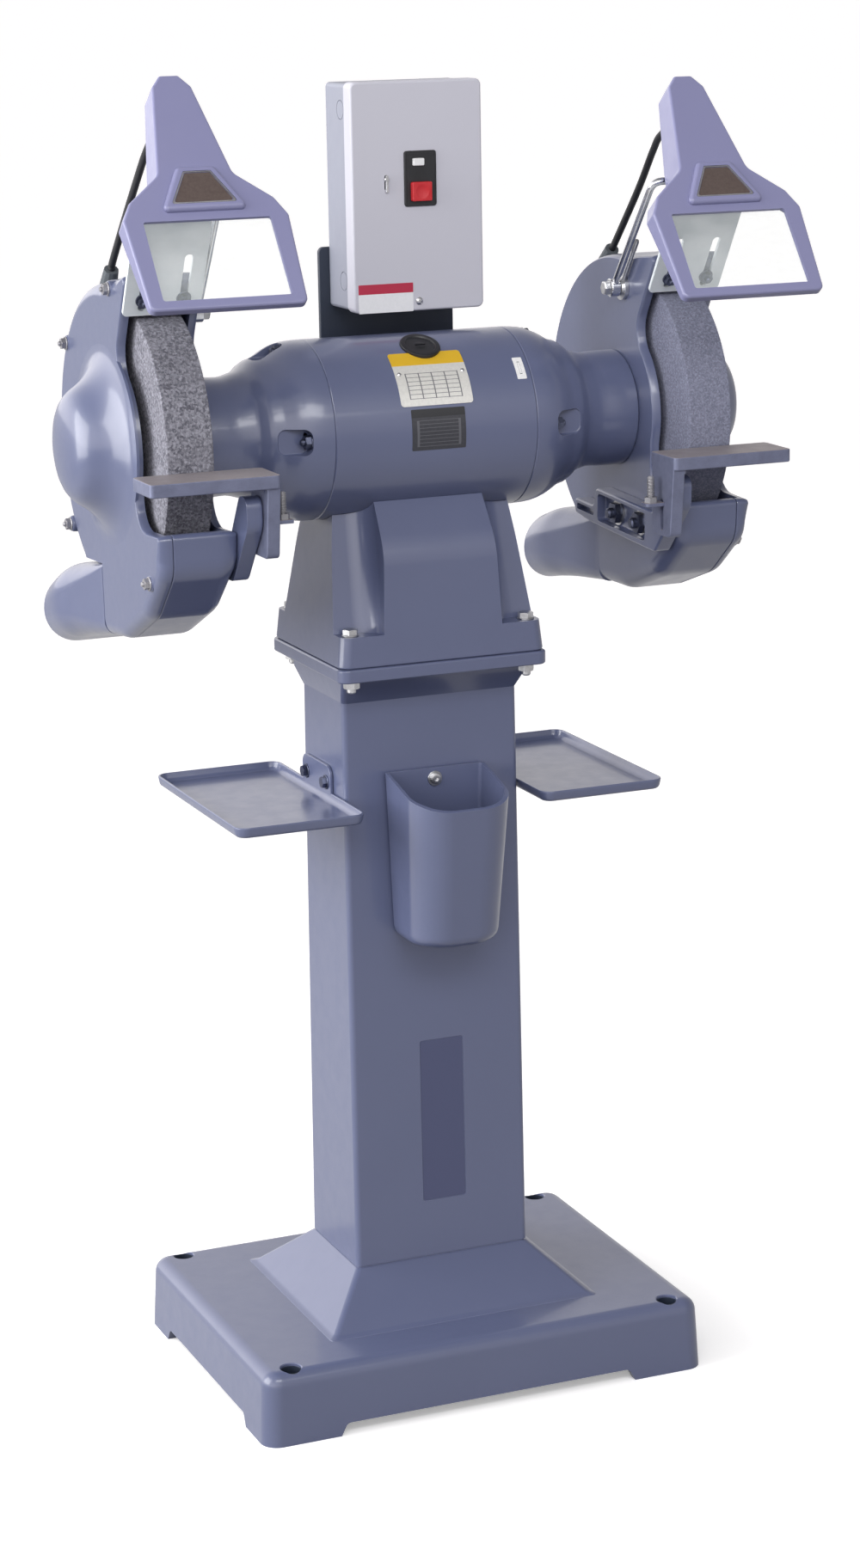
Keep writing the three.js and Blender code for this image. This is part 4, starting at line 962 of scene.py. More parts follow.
class SweepTree(Tree):
    """Sweeps a round section along a line."""

    def __init__(self) -> None:
        """Build the tree."""
        super().__init__("sweep_round", [("Radius", "Float", 4.0), ("Sides", "Int", 20),
                                         ("Material", "Material", None)])
        line = self.node("GeometryNodeMeshToCurve", {"Mesh": self.given("Geometry")})
        section = self.node("GeometryNodeCurvePrimitiveCircle", {
            "Resolution": self.given("Sides"), "Radius": self.given("Radius")}, mode="RADIUS")
        swept = self.node("GeometryNodeCurveToMesh", {"Curve": line, "Profile Curve": section,
                                                      "Fill Caps": True})
        self.close(swept)

    def along(self, route: Sequence[Sequence[float]], radius: float, material: bpy.types.Material,
              sides: int = 20) -> Solid:
        """A round bar along a route."""
        mesh = bpy.data.meshes.new("route")
        mesh.from_pydata([tuple(point) for point in route], [(i, i + 1) for i in range(len(route) - 1)], [])
        return self.run(hosted(mesh), Radius=radius, Sides=sides, Material=material)


class CoilTree(Tree):
    """A spring or a thread: a round wire wound about the z axis."""

    def __init__(self) -> None:
        """Build the tree."""
        super().__init__("wind_wire", [("Turns", "Float", 6.0), ("Radius", "Float", 4.0),
                                       ("Wire", "Float", 0.7), ("Height", "Float", 20.0),
                                       ("Material", "Material", None)])
        wound = self.node("GeometryNodeCurveSpiral", {
            "Resolution": 24, "Rotations": self.given("Turns"), "Start Radius": self.given("Radius"),
            "End Radius": self.given("Radius"), "Height": self.given("Height")})
        section = self.node("GeometryNodeCurvePrimitiveCircle", {
            "Resolution": 6, "Radius": self.given("Wire")}, mode="RADIUS")
        swept = self.node("GeometryNodeCurveToMesh", {"Curve": wound, "Profile Curve": section,
                                                      "Fill Caps": True})
        self.close(swept)

    def wound(self, turns: float, radius: float, wire: float, height: float, material: bpy.types.Material
              ) -> Solid:
        """A wound wire from z 0 to its height."""
        mesh = bpy.data.meshes.new("nothing")
        return self.run(hosted(mesh), Turns=turns, Radius=radius, Wire=wire, Height=height, Material=material)


class LatheTree(Tree):
    """Turns a profile about the x axis: each point of the profile becomes a ring."""

    def __init__(self) -> None:
        """Build the tree."""
        super().__init__("turn_profile", [("Profile", "Object", None), ("Points", "Int", 8),
                                          ("Segments", "Int", 96), ("Material", "Material", None)])
        rings = self.node("ShaderNodeMath", {0: self.given("Points"), 1: 1.0}, operation="ADD")
        around = self.node("ShaderNodeMath", {0: self.given("Segments"), 1: 1.0}, operation="ADD")
        sheet = self.node("GeometryNodeMeshGrid", {
            "Size X": 1.0, "Size Y": 1.0, "Vertices X": rings, "Vertices Y": around})
        index = self.node("GeometryNodeInputIndex")
        row = self.node("ShaderNodeMath", {0: index, 1: around}, operation="DIVIDE")
        whole = self.node("ShaderNodeMath", {0: row}, operation="FLOOR")
        column = self.node("ShaderNodeMath", {0: index, 1: around}, operation="FLOORED_MODULO")
        shared = self.node("ShaderNodeMath", {0: whole, 1: self.given("Points")}, operation="FLOORED_MODULO")
        profile = self.node("GeometryNodeObjectInfo", {"Object": self.given("Profile")}, output="Geometry")
        position = self.node("GeometryNodeInputPosition")
        sampled = self.node("GeometryNodeSampleIndex", {"Geometry": profile, "Value": position,
                                                        "Index": shared}, data_type="FLOAT_VECTOR")
        turn = self.node("ShaderNodeMath", {0: column, 1: 2 * math.pi}, operation="MULTIPLY")
        angle = self.node("ShaderNodeMath", {0: turn, 1: self.given("Segments")}, operation="DIVIDE")
        around_x = self.node("ShaderNodeVectorRotate", {"Vector": sampled, "Angle": angle},
                             rotation_type="X_AXIS")
        placed = self.node("GeometryNodeSetPosition", {"Geometry": sheet, "Position": around_x})
        merged = self.node("GeometryNodeMergeByDistance", {"Geometry": placed, "Distance": 0.001})
        self.close(merged)

    def turned(self, profile: Sequence[tuple[float, float]], material: bpy.types.Material, segments: int = 144
               ) -> Solid:
        """A hollow ring about the x axis from a closed profile of (along, radius)."""
        line = bpy.data.meshes.new("profile")
        line.from_pydata([(x, 0.0, radius) for x, radius in profile], [], [])
        shape = hosted(line)
        made = self.run(hosted(bpy.data.meshes.new("nothing")), Profile=shape, Points=len(profile),
                        Segments=segments, Material=material)
        bpy.data.objects.remove(shape)
        faces = [tuple(face.vertices) for face in made.mesh.polygons]
        return Solid([vertex.co[:] for vertex in made.mesh.vertices], faces)


# ---------------------------------------------------------------- finished pieces


@dataclass
class Workshop:
    """Holds the finishes and the trees, and turns solids into pieces that ride on the frame's bodies."""

    finishes: dict[str, bpy.types.Material] = field(default_factory=dict)
    pieces: list[bpy.types.Object] = field(default_factory=list)

    def __post_init__(self) -> None:
        """Build every finish and tree once."""
        self.finishes = {name: finish.material() for name, finish in FINISHES.items()}
        self.scatter = ScatterTree()
        self.sweep = SweepTree()
        self.coil = CoilTree()
        self.lathe = LatheTree()

    def piece(self, name: str, solid: Solid, finish: str, body: str = "stand",
              replaces: Sequence[str] = (), place: Matrix | None = None, angle: float = 34.0
              ) -> bpy.types.Object:
        """Finish a solid as a named piece.

        Args:
            name: The piece's name.
            solid: Its shape in millimetres.
            finish: Name of its finish.
            body: The frame's body that it rides on, or an empty name for a piece on no body.
            replaces: CAD nodes that it stands for.
            place: Where its own axes lie on the machine.
            angle: Edges sharper than this stay crisp, in degrees.

        Returns:
            The finished object.
        """
        mesh = solid.mesh
        mesh.name = name
        mesh.transform(IN_FRAME @ (place or Matrix()))
        mesh.materials.clear()
        mesh.materials.append(self.finishes[finish])
        mesh.polygons.foreach_set("material_index", [0] * len(mesh.polygons))
        mesh.shade_smooth()
        mesh.set_sharp_from_angle(angle=math.radians(angle))
        weighed = bpy.data.objects.new("weighed", mesh)
        bpy.context.scene.collection.objects.link(weighed)
        modifier = weighed.modifiers.new("weigh", "WEIGHTED_NORMAL")
        modifier.keep_sharp = True
        modifier.weight = 60
        bpy.context.view_layer.update()
        graph = bpy.context.evaluated_depsgraph_get()
        final = bpy.data.meshes.new_from_object(weighed.evaluated_get(graph))
        bpy.data.objects.remove(weighed)
        made = bpy.data.objects.new(name, final)
        bpy.context.scene.collection.objects.link(made)
        if body:
            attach(made, body)
        if replaces:
            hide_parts(*replaces)
        self.pieces.append(made)
        LOG.info("%s: %d faces on %s", name, len(final.polygons), body)
        return made

    def dress(self, node: str, finish: str) -> None:
        """Give a node of the frame its finish."""
        slots = frame["nodes"][node].data.materials
        slots.clear()
        slots.append(self.finishes[finish])
        LOG.info("%s dressed in %s", node, finish)


def mapped(solid: Solid, across: Axis, up: Axis) -> Solid:
    """Give a flat plate a map that runs from 0 to 1 over its own width and height."""
    places = [vertex.co for vertex in solid.mesh.vertices]
    spans = []
    for axis in (across, up):
        values = [place[axis.value] for place in places]
        spans.append((axis.value, min(values), max(values) - min(values)))
    layer = solid.mesh.uv_layers.new(name="flat")
    for loop in solid.mesh.loops:
        place = places[loop.vertex_index]
        layer.data[loop.index].uv = [(place[axis] - low) / size for axis, low, size in spans]
    return solid


def bent_plate(middle: float, half: float, radius: float, start: float, stop: float, corner: float,
               thickness: float, rows: int = 28) -> Solid:
    """A thin plate with rounded corners wrapped on the motor.

    Args:
        middle: Its centre along the shaft.
        half: Its half width.
        radius: The motor's radius under it.
        start: Lowest angle above the front, in degrees.
        stop: Highest angle.
        corner: Corner radius.
        thickness: How far it stands out.
        rows: Strips round the motor.

    Returns:
        The plate with its flat map.
    """
    length = math.radians(stop - start) * radius
    shares = sorted({*(i / rows for i in range(rows + 1)),
                     *(corner * (1 - math.cos(math.radians(15 * i))) / length for i in range(7)),
                     *(1 - corner * (1 - math.cos(math.radians(15 * i))) / length for i in range(7))})
    points: list[tuple[float, float, float]] = []
    flat: list[tuple[float, float]] = []
    for share in shares:
        near = min(share, 1 - share) * length
        lost = corner - math.sqrt(max(corner ** 2 - max(corner - near, 0.0) ** 2, 0.0))
        angle = math.radians(start) + share * length / radius
        for side, out in ((-1, 0.0), (-1, thickness), (1, thickness), (1, 0.0)):
            reach = radius + out
            points.append((middle + side * (half - lost), -reach * math.cos(angle),
                           SHAFT_Z + reach * math.sin(angle)))
            flat.append((0.5 + side * 0.5 * (half - lost) / half, share))
    faces = []
    for row in range(len(shares) - 1):
        low, high = row * 4, row * 4 + 4
        for step in range(4):
            after = (step + 1) % 4
            faces.append((low + step, low + after, high + after, high + step))
    last = (len(shares) - 1) * 4
    faces += [(3, 2, 1, 0), (last, last + 1, last + 2, last + 3)]
    made = Solid(points, faces)
    layer = made.mesh.uv_layers.new(name="flat")
    for loop in made.mesh.loops:
        layer.data[loop.index].uv = flat[loop.vertex_index]
    return made


def bolt_head(across: float, height: float, washer: float = 0.0, shank: float = 0.0, sides: int = 6) -> Solid:
    """A bolt head standing on z 0, with a chamfered top, a washer and the shank's end.

    Args:
        across: Corner radius of the head.
        height: Its height above the washer.
        washer: Radius of the washer, or 0 for none.
        shank: Radius of a threaded end above the head, or 0 for none.
        sides: Sides of the head.

    Returns:
        The head.
    """
    base = 1.2 if washer else 0.0
    body = prism(Axis.Z, circle(across, sides), base, base + height)
    crown = turned(Axis.Z, [(base - 1, 0), (base - 1, across + 1), (base + height * 0.84, across + 1),
                            (base + height, across * 0.88), (base + height, 0)], segments=36)
    parts = [body.meet(crown)]
    if washer:
        parts.append(turned(Axis.Z, [(0, 0), (0, washer), (base - 0.35, washer), (base, washer - 0.4),
                                     (base, 0)], segments=32))
    if shank:
        top = base + height
        parts.append(turned(Axis.Z, [(top - 1, 0), (top - 1, shank), (top + shank * 0.8, shank),
                                     (top + shank * 1.1, shank * 0.75), (top + shank * 1.1, 0)], segments=24))
    return gathered(parts)


def gathered(solids: Sequence[Solid]) -> Solid:
    """Several separate solids as one mesh."""
    points: list[tuple[float, ...]] = []
    faces: list[tuple[int, ...]] = []
    for solid in solids:
        offset = len(points)
        points += [vertex.co[:] for vertex in solid.mesh.vertices]
        faces += [tuple(index + offset for index in face.vertices) for face in solid.mesh.polygons]
    made = Solid((), ())
    made.mesh.from_pydata(points, [], faces)
    return made


# ---------------------------------------------------------------- pedestal


@dataclass
class Pedestal:
    """Cast base on corner feet with a pyramid skirt, a tapered column and a top flange."""

    half_x: float = 266.0
    half_y: float = 202.0
    height: float = 82.0
    corner: float = 20.0
    edge: float = 16.0
    wall: float = 10.0
    foot_x: float = 95.0
    foot_y: float = 75.0
    arch: float = 14.0
    bolt: tuple[float, float, float] = (228.0, 181.0, 7.0)
    skirt: tuple[float, float, float] = (158.0, 131.0, 135.0)
    column_foot: tuple[float, float] = (104.8, 70.4)
    column_head: tuple[float, float, float] = (103.2, 60.9, 786.0)
    column_corner: float = 6.0
    neck: tuple[float, float, float] = (110.0, 80.0, 817.0)
    flange: tuple[float, float, float] = (122.0, 108.0, 832.0)
    flange_bolt: tuple[float, float, float] = (103.0, 89.0, 6.3)
    name_place: tuple[float, float, float, float] = (-23.0, 30.0, 202.0, 392.0)
    inside: tuple[tuple[float, ...], ...] = (
        (60.0, 140.0, 112.0, 8.0), (126.0, 96.0, 62.0, 5.0), (778.0, 92.0, 52.0, 5.0),
        (812.0, 92.0, 52.0, 5.0))
    ledge: float = 14.0
    sink_more: float = 4.6

    def shell(self) -> Solid:
        """The outside of the casting as one solid."""
        foot = rectangle(0, 0, self.half_x, self.half_y, self.corner, 10)
        brow = rectangle(0, 0, self.half_x - 3, self.half_y - 3, self.corner, 10)
        slab = layered(Axis.Z, [(0.0, foot)] + edge(brow, self.height, self.edge, -1, 8)[::-1])

        def square(z: float, x: float, y: float) -> tuple[float, Ring]:
            """The stem's outline at a height."""
            return z, rectangle(0, 0, x, y, self.column_corner, 6)

        skirt_x, skirt_y, skirt_z = self.skirt
        foot_x, foot_y = self.column_foot
        head_x, head_y, head_z = self.column_head
        neck_x, neck_y, neck_z = self.neck
        stem = layered(Axis.Z, [
            square(self.height - 5, skirt_x + 7, skirt_y + 7),
            square(self.height + 0.4, skirt_x + 4.5, skirt_y + 4.5),
            square(self.height + 1.6, skirt_x + 1.0, skirt_y + 1.0),
            square(self.height + 3.6, skirt_x - 3.0, skirt_y - 3.2),
            square(skirt_z - 0.5, foot_x + 0.6, foot_y + 0.6),
            square(skirt_z, foot_x - 1.2, foot_y - 1.2),
            square(skirt_z + 1.4, foot_x - 1.2, foot_y - 1.2),
            square(skirt_z + 2.2, foot_x, foot_y),
            square(head_z - 1, head_x, head_y),
            square(head_z + 1, head_x + 0.8, head_y + 1.6),
            square(head_z + 18, neck_x - 1.2, neck_y - 4.0),
            square(neck_z + 1, neck_x, neck_y),
        ])
        flange_x, flange_y, flange_z = self.flange
        top = rounded(Axis.Z, rectangle(0, 0, flange_x, flange_y, 12, 10), neck_z, flange_z, 2.2, 2.2, 4)
        return slab.join(stem, top)

    def cutters(self) -> list[Solid]:
        """What is taken out: the hollow, the arches between the feet and the name place."""
        inner = rectangle(0, 0, self.half_x - self.wall, self.half_y - self.wall, self.corner / 2, 6)
        under = prism(Axis.Z, inner, -1, self.height - self.wall)
        reach_x, reach_y = self.half_x - self.foot_x, self.half_y - self.foot_y
        arches = [outline([(-reach - 8, -1), (reach + 8, -1), (reach, self.arch, 7),
                           (-reach, self.arch, 7)], 6) for reach in (reach_x, reach_y)]
        floor = self.face_at(self.name_place[2]) + 0.7
        recess = prism(Axis.Y, self.name_ring(0.0, 3.0), floor - 30, floor).placed(self.leant(floor))
        return [under, prism(Axis.Y, arches[0], -self.half_y - 1, self.half_y + 1),
                prism(Axis.X, arches[1], -self.half_x - 1, self.half_x + 1), recess]

    def name_ring(self, shrink: float, radius: float) -> Ring:
        """Outline of the name place, moved inward."""
        left, right, low, high = self.name_place
        return rectangle((left + right) / 2, (low + high) / 2, (right - left) / 2 - shrink,
                         (high - low) / 2 - shrink, radius, 6)

    def leant(self, y: float) -> Matrix:
        """Lean about the name place's lower edge at a depth, along the column's taper."""
        low, high = self.name_place[2:]
        about = Matrix.Translation((0, y, low))
        tilt = math.atan2(self.face_at(high) - self.face_at(low), high - low)
        return about @ Matrix.Rotation(-tilt, 4, "X") @ about.inverted()

    def face_at(self, z: float) -> float:
        """Where the column's front face lies at a height."""
        share = (z - self.skirt[2]) / (self.column_head[2] - self.skirt[2])
        return -(self.column_foot[1] + (self.column_head[1] - self.column_foot[1]) * share)

    def build(self, shop: Workshop) -> None:
        """Make the casting, its bolt holes lined with dark tubes that paint the shade inside them, and the
        bare name place.
        """
        bolt_x, bolt_y, bolt_r = self.bolt
        hole_x, hole_y, hole_r = self.flange_bolt
        shell = self.shell().cut(*self.cutters())
        sink = bolt_r + self.sink_more
        top, brim = self.height, self.height + 2
        wells, bosses = [], []
        for x, y in CORNERS:
            at = (x * bolt_x, y * bolt_y, 0)
            bosses.append(cylinder(Axis.Z, 0, top - 9, bolt_r + 8, at, 32))
            wells.append(turned(Axis.Z, [
                (-1, 0), (-1, bolt_r), (self.ledge, bolt_r), (self.ledge, sink), (top - 1, sink),
                (top + 0.2, sink + 1.3), (brim, sink + 1.3), (brim, 0)], at, 40))
            wells.append(cylinder(Axis.Z, self.neck[2] - 2, self.flange[2] + 2, hole_r,
                                  (x * hole_x, y * hole_y, 0), 32))
        hollow = layered(Axis.Z, [(z, rectangle(0, 0, half_x, half_y, radius, 4))
                                  for z, half_x, half_y, radius in self.inside])
        above = block((-self.half_x - 1, -self.half_y - 1, 0),
                      (self.half_x + 1, self.half_y + 1, self.flange[2] + 1))
        shop.piece("pedestal_casting", shell.cut(hollow).join(*bosses).cut(*wells).meet(above), "paint",
                   replaces=["pedestal"])
        # Painted shade: dark tubes line the bolt holes so that they read as deep, unlit holes.
        shop.piece("pedestal_hole_walls", gathered([
            tube(Axis.Z, self.ledge + 1, top - 3, sink - 0.05, sink - 1.2, (x * bolt_x, y * bolt_y, 0))
            for x, y in CORNERS]), "bracket_paint")
        self.build_name_place(shop)

    def build_name_place(self, shop: Workshop) -> None:
        """Lay a bare dark panel in the recess on the column's front."""
        face = self.face_at(self.name_place[2]) + 0.4
        panel = rounded(Axis.Y, self.name_ring(0.8, 2.4), face, face + 1.6, 0.3).placed(self.leant(face))
        shop.piece("name_place", mapped(panel, Axis.X, Axis.Z), "name_place")


# ---------------------------------------------------------------- motor


@dataclass
class BaseHousing:
    """Tapered cast base of the motor with a round groove at each corner for its bolts."""

    bottom: float = 832.3
    skirt_top: float = 866.0
    half_x: float = 120.0
    half_y: float = 105.0
    knee: tuple[float, float, float] = (108.0, 97.0, 955.0)
    shoulder: tuple[float, float, float] = (101.0, 65.0, 1004.0)
    groove_x: tuple[float, float] = (69.0, 62.0)
    groove_y: tuple[float, float] = (75.0, 32.0)
    groove_radius: float = 26.0
    motor_radius: float = 97.3
    bolt: tuple[float, float] = (103.0, 89.0)

    def groove(self, x: int, y: int) -> Solid:
        """The round-bottomed groove at one corner."""

        def ring(z: float, inner_x: float, inner_y: float) -> tuple[float, Ring]:
            """The groove's outline at a height."""
            out_x, out_y = x * (self.half_x + 40), y * (self.half_y + 40)
            return z, outline([(x * inner_x, y * inner_y, self.groove_radius), (out_x, y * inner_y),
                               (out_x, out_y), (x * inner_x, out_y)], 14)

        return layered(Axis.Z, [ring(self.skirt_top, self.groove_x[0], self.groove_y[0]),
                                ring(self.shoulder[2] + 31, self.groove_x[1], self.groove_y[1])])

    def body(self) -> Solid:
        """The tapered block with its softened knee, cut for the motor and the grooves."""
        knee, top = Vector(self.knee), Vector(self.shoulder)
        rows = [Vector((self.half_x - less, self.half_y - less, self.bottom + up))
                for less, up in ((1.4, 0.0), (0.4, 1.0), (0.0, 2.6))]
        rows += eased_bend(knee + Vector((1.6, 1.1, -16)), knee, knee + Vector((-2.3, -10.4, 16)))
        rows += [top, top + Vector((-4, -31, 30))]
        taper = layered(Axis.Z, [(z, rectangle(0, 0, x, y, 12, 8)) for x, y, z in rows])
        bore = cylinder(Axis.X, -200, 200, self.motor_radius + 0.3, (0, 0, SHAFT_Z), 144)
        grooves = [self.groove(x, y) for x, y in CORNERS]
        holes = [cylinder(Axis.Z, self.bottom - 2, self.skirt_top + 2, 6.3,
                          (x * self.bolt[0], y * self.bolt[1], 0), 32) for x, y in CORNERS]
        return taper.cut(*grooves, bore, *holes)

    def build(self, shop: Workshop) -> None:
        """Make the casting and its four bolts."""
        shop.piece("motor_base_casting", self.body().eased(2.6, 4, 30), "paint",
                   replaces=["base_housing"], angle=40)
        points = [(x * self.bolt[0], y * self.bolt[1], self.skirt_top + 0.3) for x, y in CORNERS]
        heads = shop.scatter.at(points, [(0, 0, 1)] * 4, bolt_head(8.7, 6.0, 9.2), shop.finishes["bolt"])
        lows = [(x, y, 816.7) for x, y, _ in points]
        nuts = shop.scatter.at(lows, [(0, 0, -1)] * 4, bolt_head(9.0, 7.2, 9.2, 5.0), shop.finishes["bolt"],
                               seed=9)
        shanks = [cylinder(Axis.Z, 815.0, self.skirt_top + 1.0, 6.0, (x, y, 0), 24) for x, y, _ in points]
        shop.piece("base_bolts", gathered([heads, nuts, *shanks]), "bolt",
                   replaces=[f"flange_bolt_{index}" for index in range(1, 5)])


@dataclass
class Motor:
    """Motor frame between two end bells, with tie-bolt pockets, a plug and its plates."""

    radius: float = 97.3
    wall: float = 11.0
    seam: float = 116.4
    end: float = 254.2
    neck: float = 64.0
    pocket: tuple[float, float, float, float] = (155.0, 35.0, 28.0, 78.0)
    plug: tuple[float, float, float] = (3.0, 64.0, 22.0)

    def bell_profile(self) -> list[tuple[float, float]]:
        """Section of an end bell: a soft shoulder down to the bearing neck, and the hollow inside."""
        outer = [(self.seam + 0.3, self.radius - 0.7), (self.seam + 1.2, self.radius), (124, 97.15),
                 (131, 96.75), (138, 95.85), (145, 94.1), (151.5, 91.6), (158, 88.2), (165, 83.9),
                 (171, 81.2), (177, 79.6), (183, 76.0), (189, 70.6), (194, 67.6), (200, 65.9), (206, 64.2),
                 (212, 63.2), (220, 63.4), (229, self.neck), (self.end - 1.2, self.neck),
                 (self.end, self.neck - 1.2)]
        inner = [(self.end, 23.0), (242.3, 23.0), (242.3, 26.3), (219.0, 26.3), (155.0, 76.0),
                 (self.seam + 0.3, 86.3)]
        return outer + inner

    def build_bells(self, shop: Workshop) -> None:
        """Make both end bells with four pockets each and the tie bolts in them."""
        at_x, length, width, floor = self.pocket
        for side in Side:
            sign = side.value
            bell = shop.lathe.turned(outward(sign, self.bell_profile()), shop.finishes["paint"], 160)
            bell.placed(AT_SHAFT)
            pockets = []
            for quarter in range(4):
                ring = rectangle(sign * (at_x + 4), 0, length / 2, width / 2, 9, 8)
                scoop = layered(Axis.Z, [(floor, inset(ring, 2.2)), (floor + 0.8, inset(ring, 0.9)),
                                         (floor + 2.6, ring), (floor + 60, ring)])
                turn = Matrix.Rotation(quarter * math.pi / 2, 4, "X")
                pockets.append(scoop.placed(AT_SHAFT @ turn))
            shop.piece(f"{side.label}_bell_casting", bell.cut(*pockets).eased(0.9, 2, 38), "paint",
                       replaces=[f"{side.label}_end_bell"], angle=44)
            points, facings = [], []
            for quarter in range(4):
                turn = Matrix.Rotation(quarter * math.pi / 2, 3, "X")
                spot = turn @ Vector((sign * 141.9, 0.0, 86.9))
                points.append(spot + Vector((0, 0, SHAFT_Z)))
                facings.append((sign, 0, 0))
            heads = shop.scatter.at(points, facings, bolt_head(7.4, 6.0, 8.2, 3.6),
                                    shop.finishes["dark_bolt"], seed=3 + sign)
            shop.piece(f"{side.label}_tie_bolts", heads, "dark_bolt")

    def build_frame(self, shop: Workshop) -> None:
        """Make the frame tube with its plug seat, and the plug."""
        profile = [(-self.seam, self.radius - self.wall), (-self.seam, self.radius - 0.8),
                   (-self.seam + 0.8, self.radius), (self.seam - 0.8, self.radius),
                   (self.seam, self.radius - 0.8), (self.seam, self.radius - self.wall)]
        body = shop.lathe.turned(profile, shop.finishes["paint"], 160).placed(AT_SHAFT)
        plug_x, plug_angle, plug_r = self.plug
        lean = Matrix.Rotation(math.radians(90 - plug_angle), 4, "X")
        stand = Matrix.Translation((plug_x, 0, SHAFT_Z)) @ lean
        recess = cylinder(Axis.Z, self.radius - 4, self.radius + 9, plug_r + 0.3, segments=72).placed(stand)
        shop.piece("motor_frame_tube", body.cut(recess).eased(0.5, 2, 50), "paint",
                   replaces=["motor_frame"], angle=44)
        low, high = self.radius - 3.7, self.radius + 2.5
        cap = turned(Axis.Z, [
            (low, 0), (low, plug_r), (high - 1.2, plug_r), (high - 0.4, plug_r - 0.5), (high, plug_r - 1.6),
            (high, plug_r - 5), (high - 1.4, plug_r - 6.2), (high - 1.4, 7), (high - 0.5, 5.6),
            (high - 0.5, 0)], segments=72)
        slot = block((-6, -1.1, high - 2.6), (6, 1.1, high + 2))
        shop.piece("frame_plug", cap.cut(slot).placed(stand), "black",
                   replaces=["motor_plug"])

    def build_plates(self, shop: Workshop) -> None:
        """Make the rating plate with its rivets, the dark label and the small label."""
        out = self.radius + 0.05
        rating = bent_plate(1.5, 41.5, out, 18.0, 57.0, 3.5, 0.7)
        shop.piece("rating_plate", rating, "rating")
        dark = bent_plate(1.0, 31.0, out, -10.0, 16.0, 1.2, 0.3)
        shop.piece("dark_label", dark, "black_label")
        small = bent_plate(105.0, 5.4, out, 31.0, 47.0, 1.0, 0.3)
        shop.piece("small_label", small, "small_label")
        points, facings = [], []
        for x, angle in ((-35.0, 40.0), (38.0, 40.0)):
            way = Vector((0, -math.cos(math.radians(angle)), math.sin(math.radians(angle))))
            points.append(Vector((x, 0, SHAFT_Z)) + way * (self.radius + 0.6))
            facings.append(way)
        rivet = turned(Axis.Z, [(0, 0), (0, 2.4), (0.5, 2.3), (1.1, 1.5), (1.4, 0)], segments=20)
        shop.piece("plate_rivets", shop.scatter.at(points, facings, rivet, shop.finishes["bolt"]), "bolt")

    def build(self, shop: Workshop) -> None:
        """Make the motor."""
        self.build_frame(shop)
        self.build_bells(shop)
        self.build_plates(shop)


@dataclass
class Rotor:
    """What turns: wheels with their flanges and nuts on the shaft."""

    radius: float = 152.4
    width: float = 50.8
    centre: float = 297.0
    bore: float = 16.2
    nut: tuple[float, float] = (21.0, 19.0)

    def build(self, shop: Workshop) -> None:
        """Make the wheels, flanges and nuts, and dress the frame's inner pieces."""
        near, far = self.centre - self.width / 2, self.centre + self.width / 2
        for side, finish in ((Side.LEFT, "coarse_stone"), (Side.RIGHT, "fine_stone")):
            sign = side.value
            label = side.label
            wheel = shop.lathe.turned(outward(sign, [
                (near, self.bore), (near, 140.0), (near + 0.2, 150.2), (near + 0.8, 151.6),
                (near + 2.2, self.radius), (far - 2.2, self.radius), (far - 0.8, 151.6), (far - 0.2, 150.2),
                (far, 140.0), (far, self.bore)]), shop.finishes[finish], 160)
            shop.piece(f"{label}_grinding_wheel", wheel.placed(AT_SHAFT), finish, "rotor",
                       [f"{label}_wheel"])
            inner = [(near - 0.3, self.bore), (near - 0.3, 58), (near - 2.6, 58), (near - 3.3, 57),
                     (near - 6.5, 32), (near - 6.5, self.bore)]
            outer = [(far + 0.3, self.bore), (far + 0.3, 58), (far + 3.4, 58), (far + 4.4, 56.5),
                     (far + 9.3, 31), (far + 9.3, self.bore)]
            for part, profile in (("inner", inner), ("outer", outer)):
                ring = shop.lathe.turned(outward(sign, profile), shop.finishes["dark_bolt"], 96)
                shop.piece(f"{label}_{part}_clamp_flange", ring.placed(AT_SHAFT), "dark_bolt",
                           "rotor", [f"{label}_{part}_flange"])
            start = far + 9.6
            across, length = self.nut
            blank = prism(Axis.X, circle(across, 6), sign * start, sign * (start + length))
            crown = turned(Axis.X, outward(sign, [
                (start - 1, 0), (start - 1, across * 0.9), (start + 0.2, across * 0.93),
                (start + 2, across + 1), (start + length - 2, across + 1), (start + length, across * 0.92),
                (start + length, 0)]))
            hole = cylinder(Axis.X, sign * (start - 2), sign * (start + length + 2), self.bore)
            shop.piece(f"{label}_nut", blank.meet(crown).cut(hole).placed(AT_SHAFT), "bolt",
                       "rotor", [f"{label}_spindle_nut"])
            shop.dress(f"{label}_bearing", "bolt")
        shop.dress("shaft", "bolt")
        shop.dress("rotor_core", "dark_bolt")
        shop.dress("stator_core", "copper")


# ---------------------------------------------------------------- wheel guards


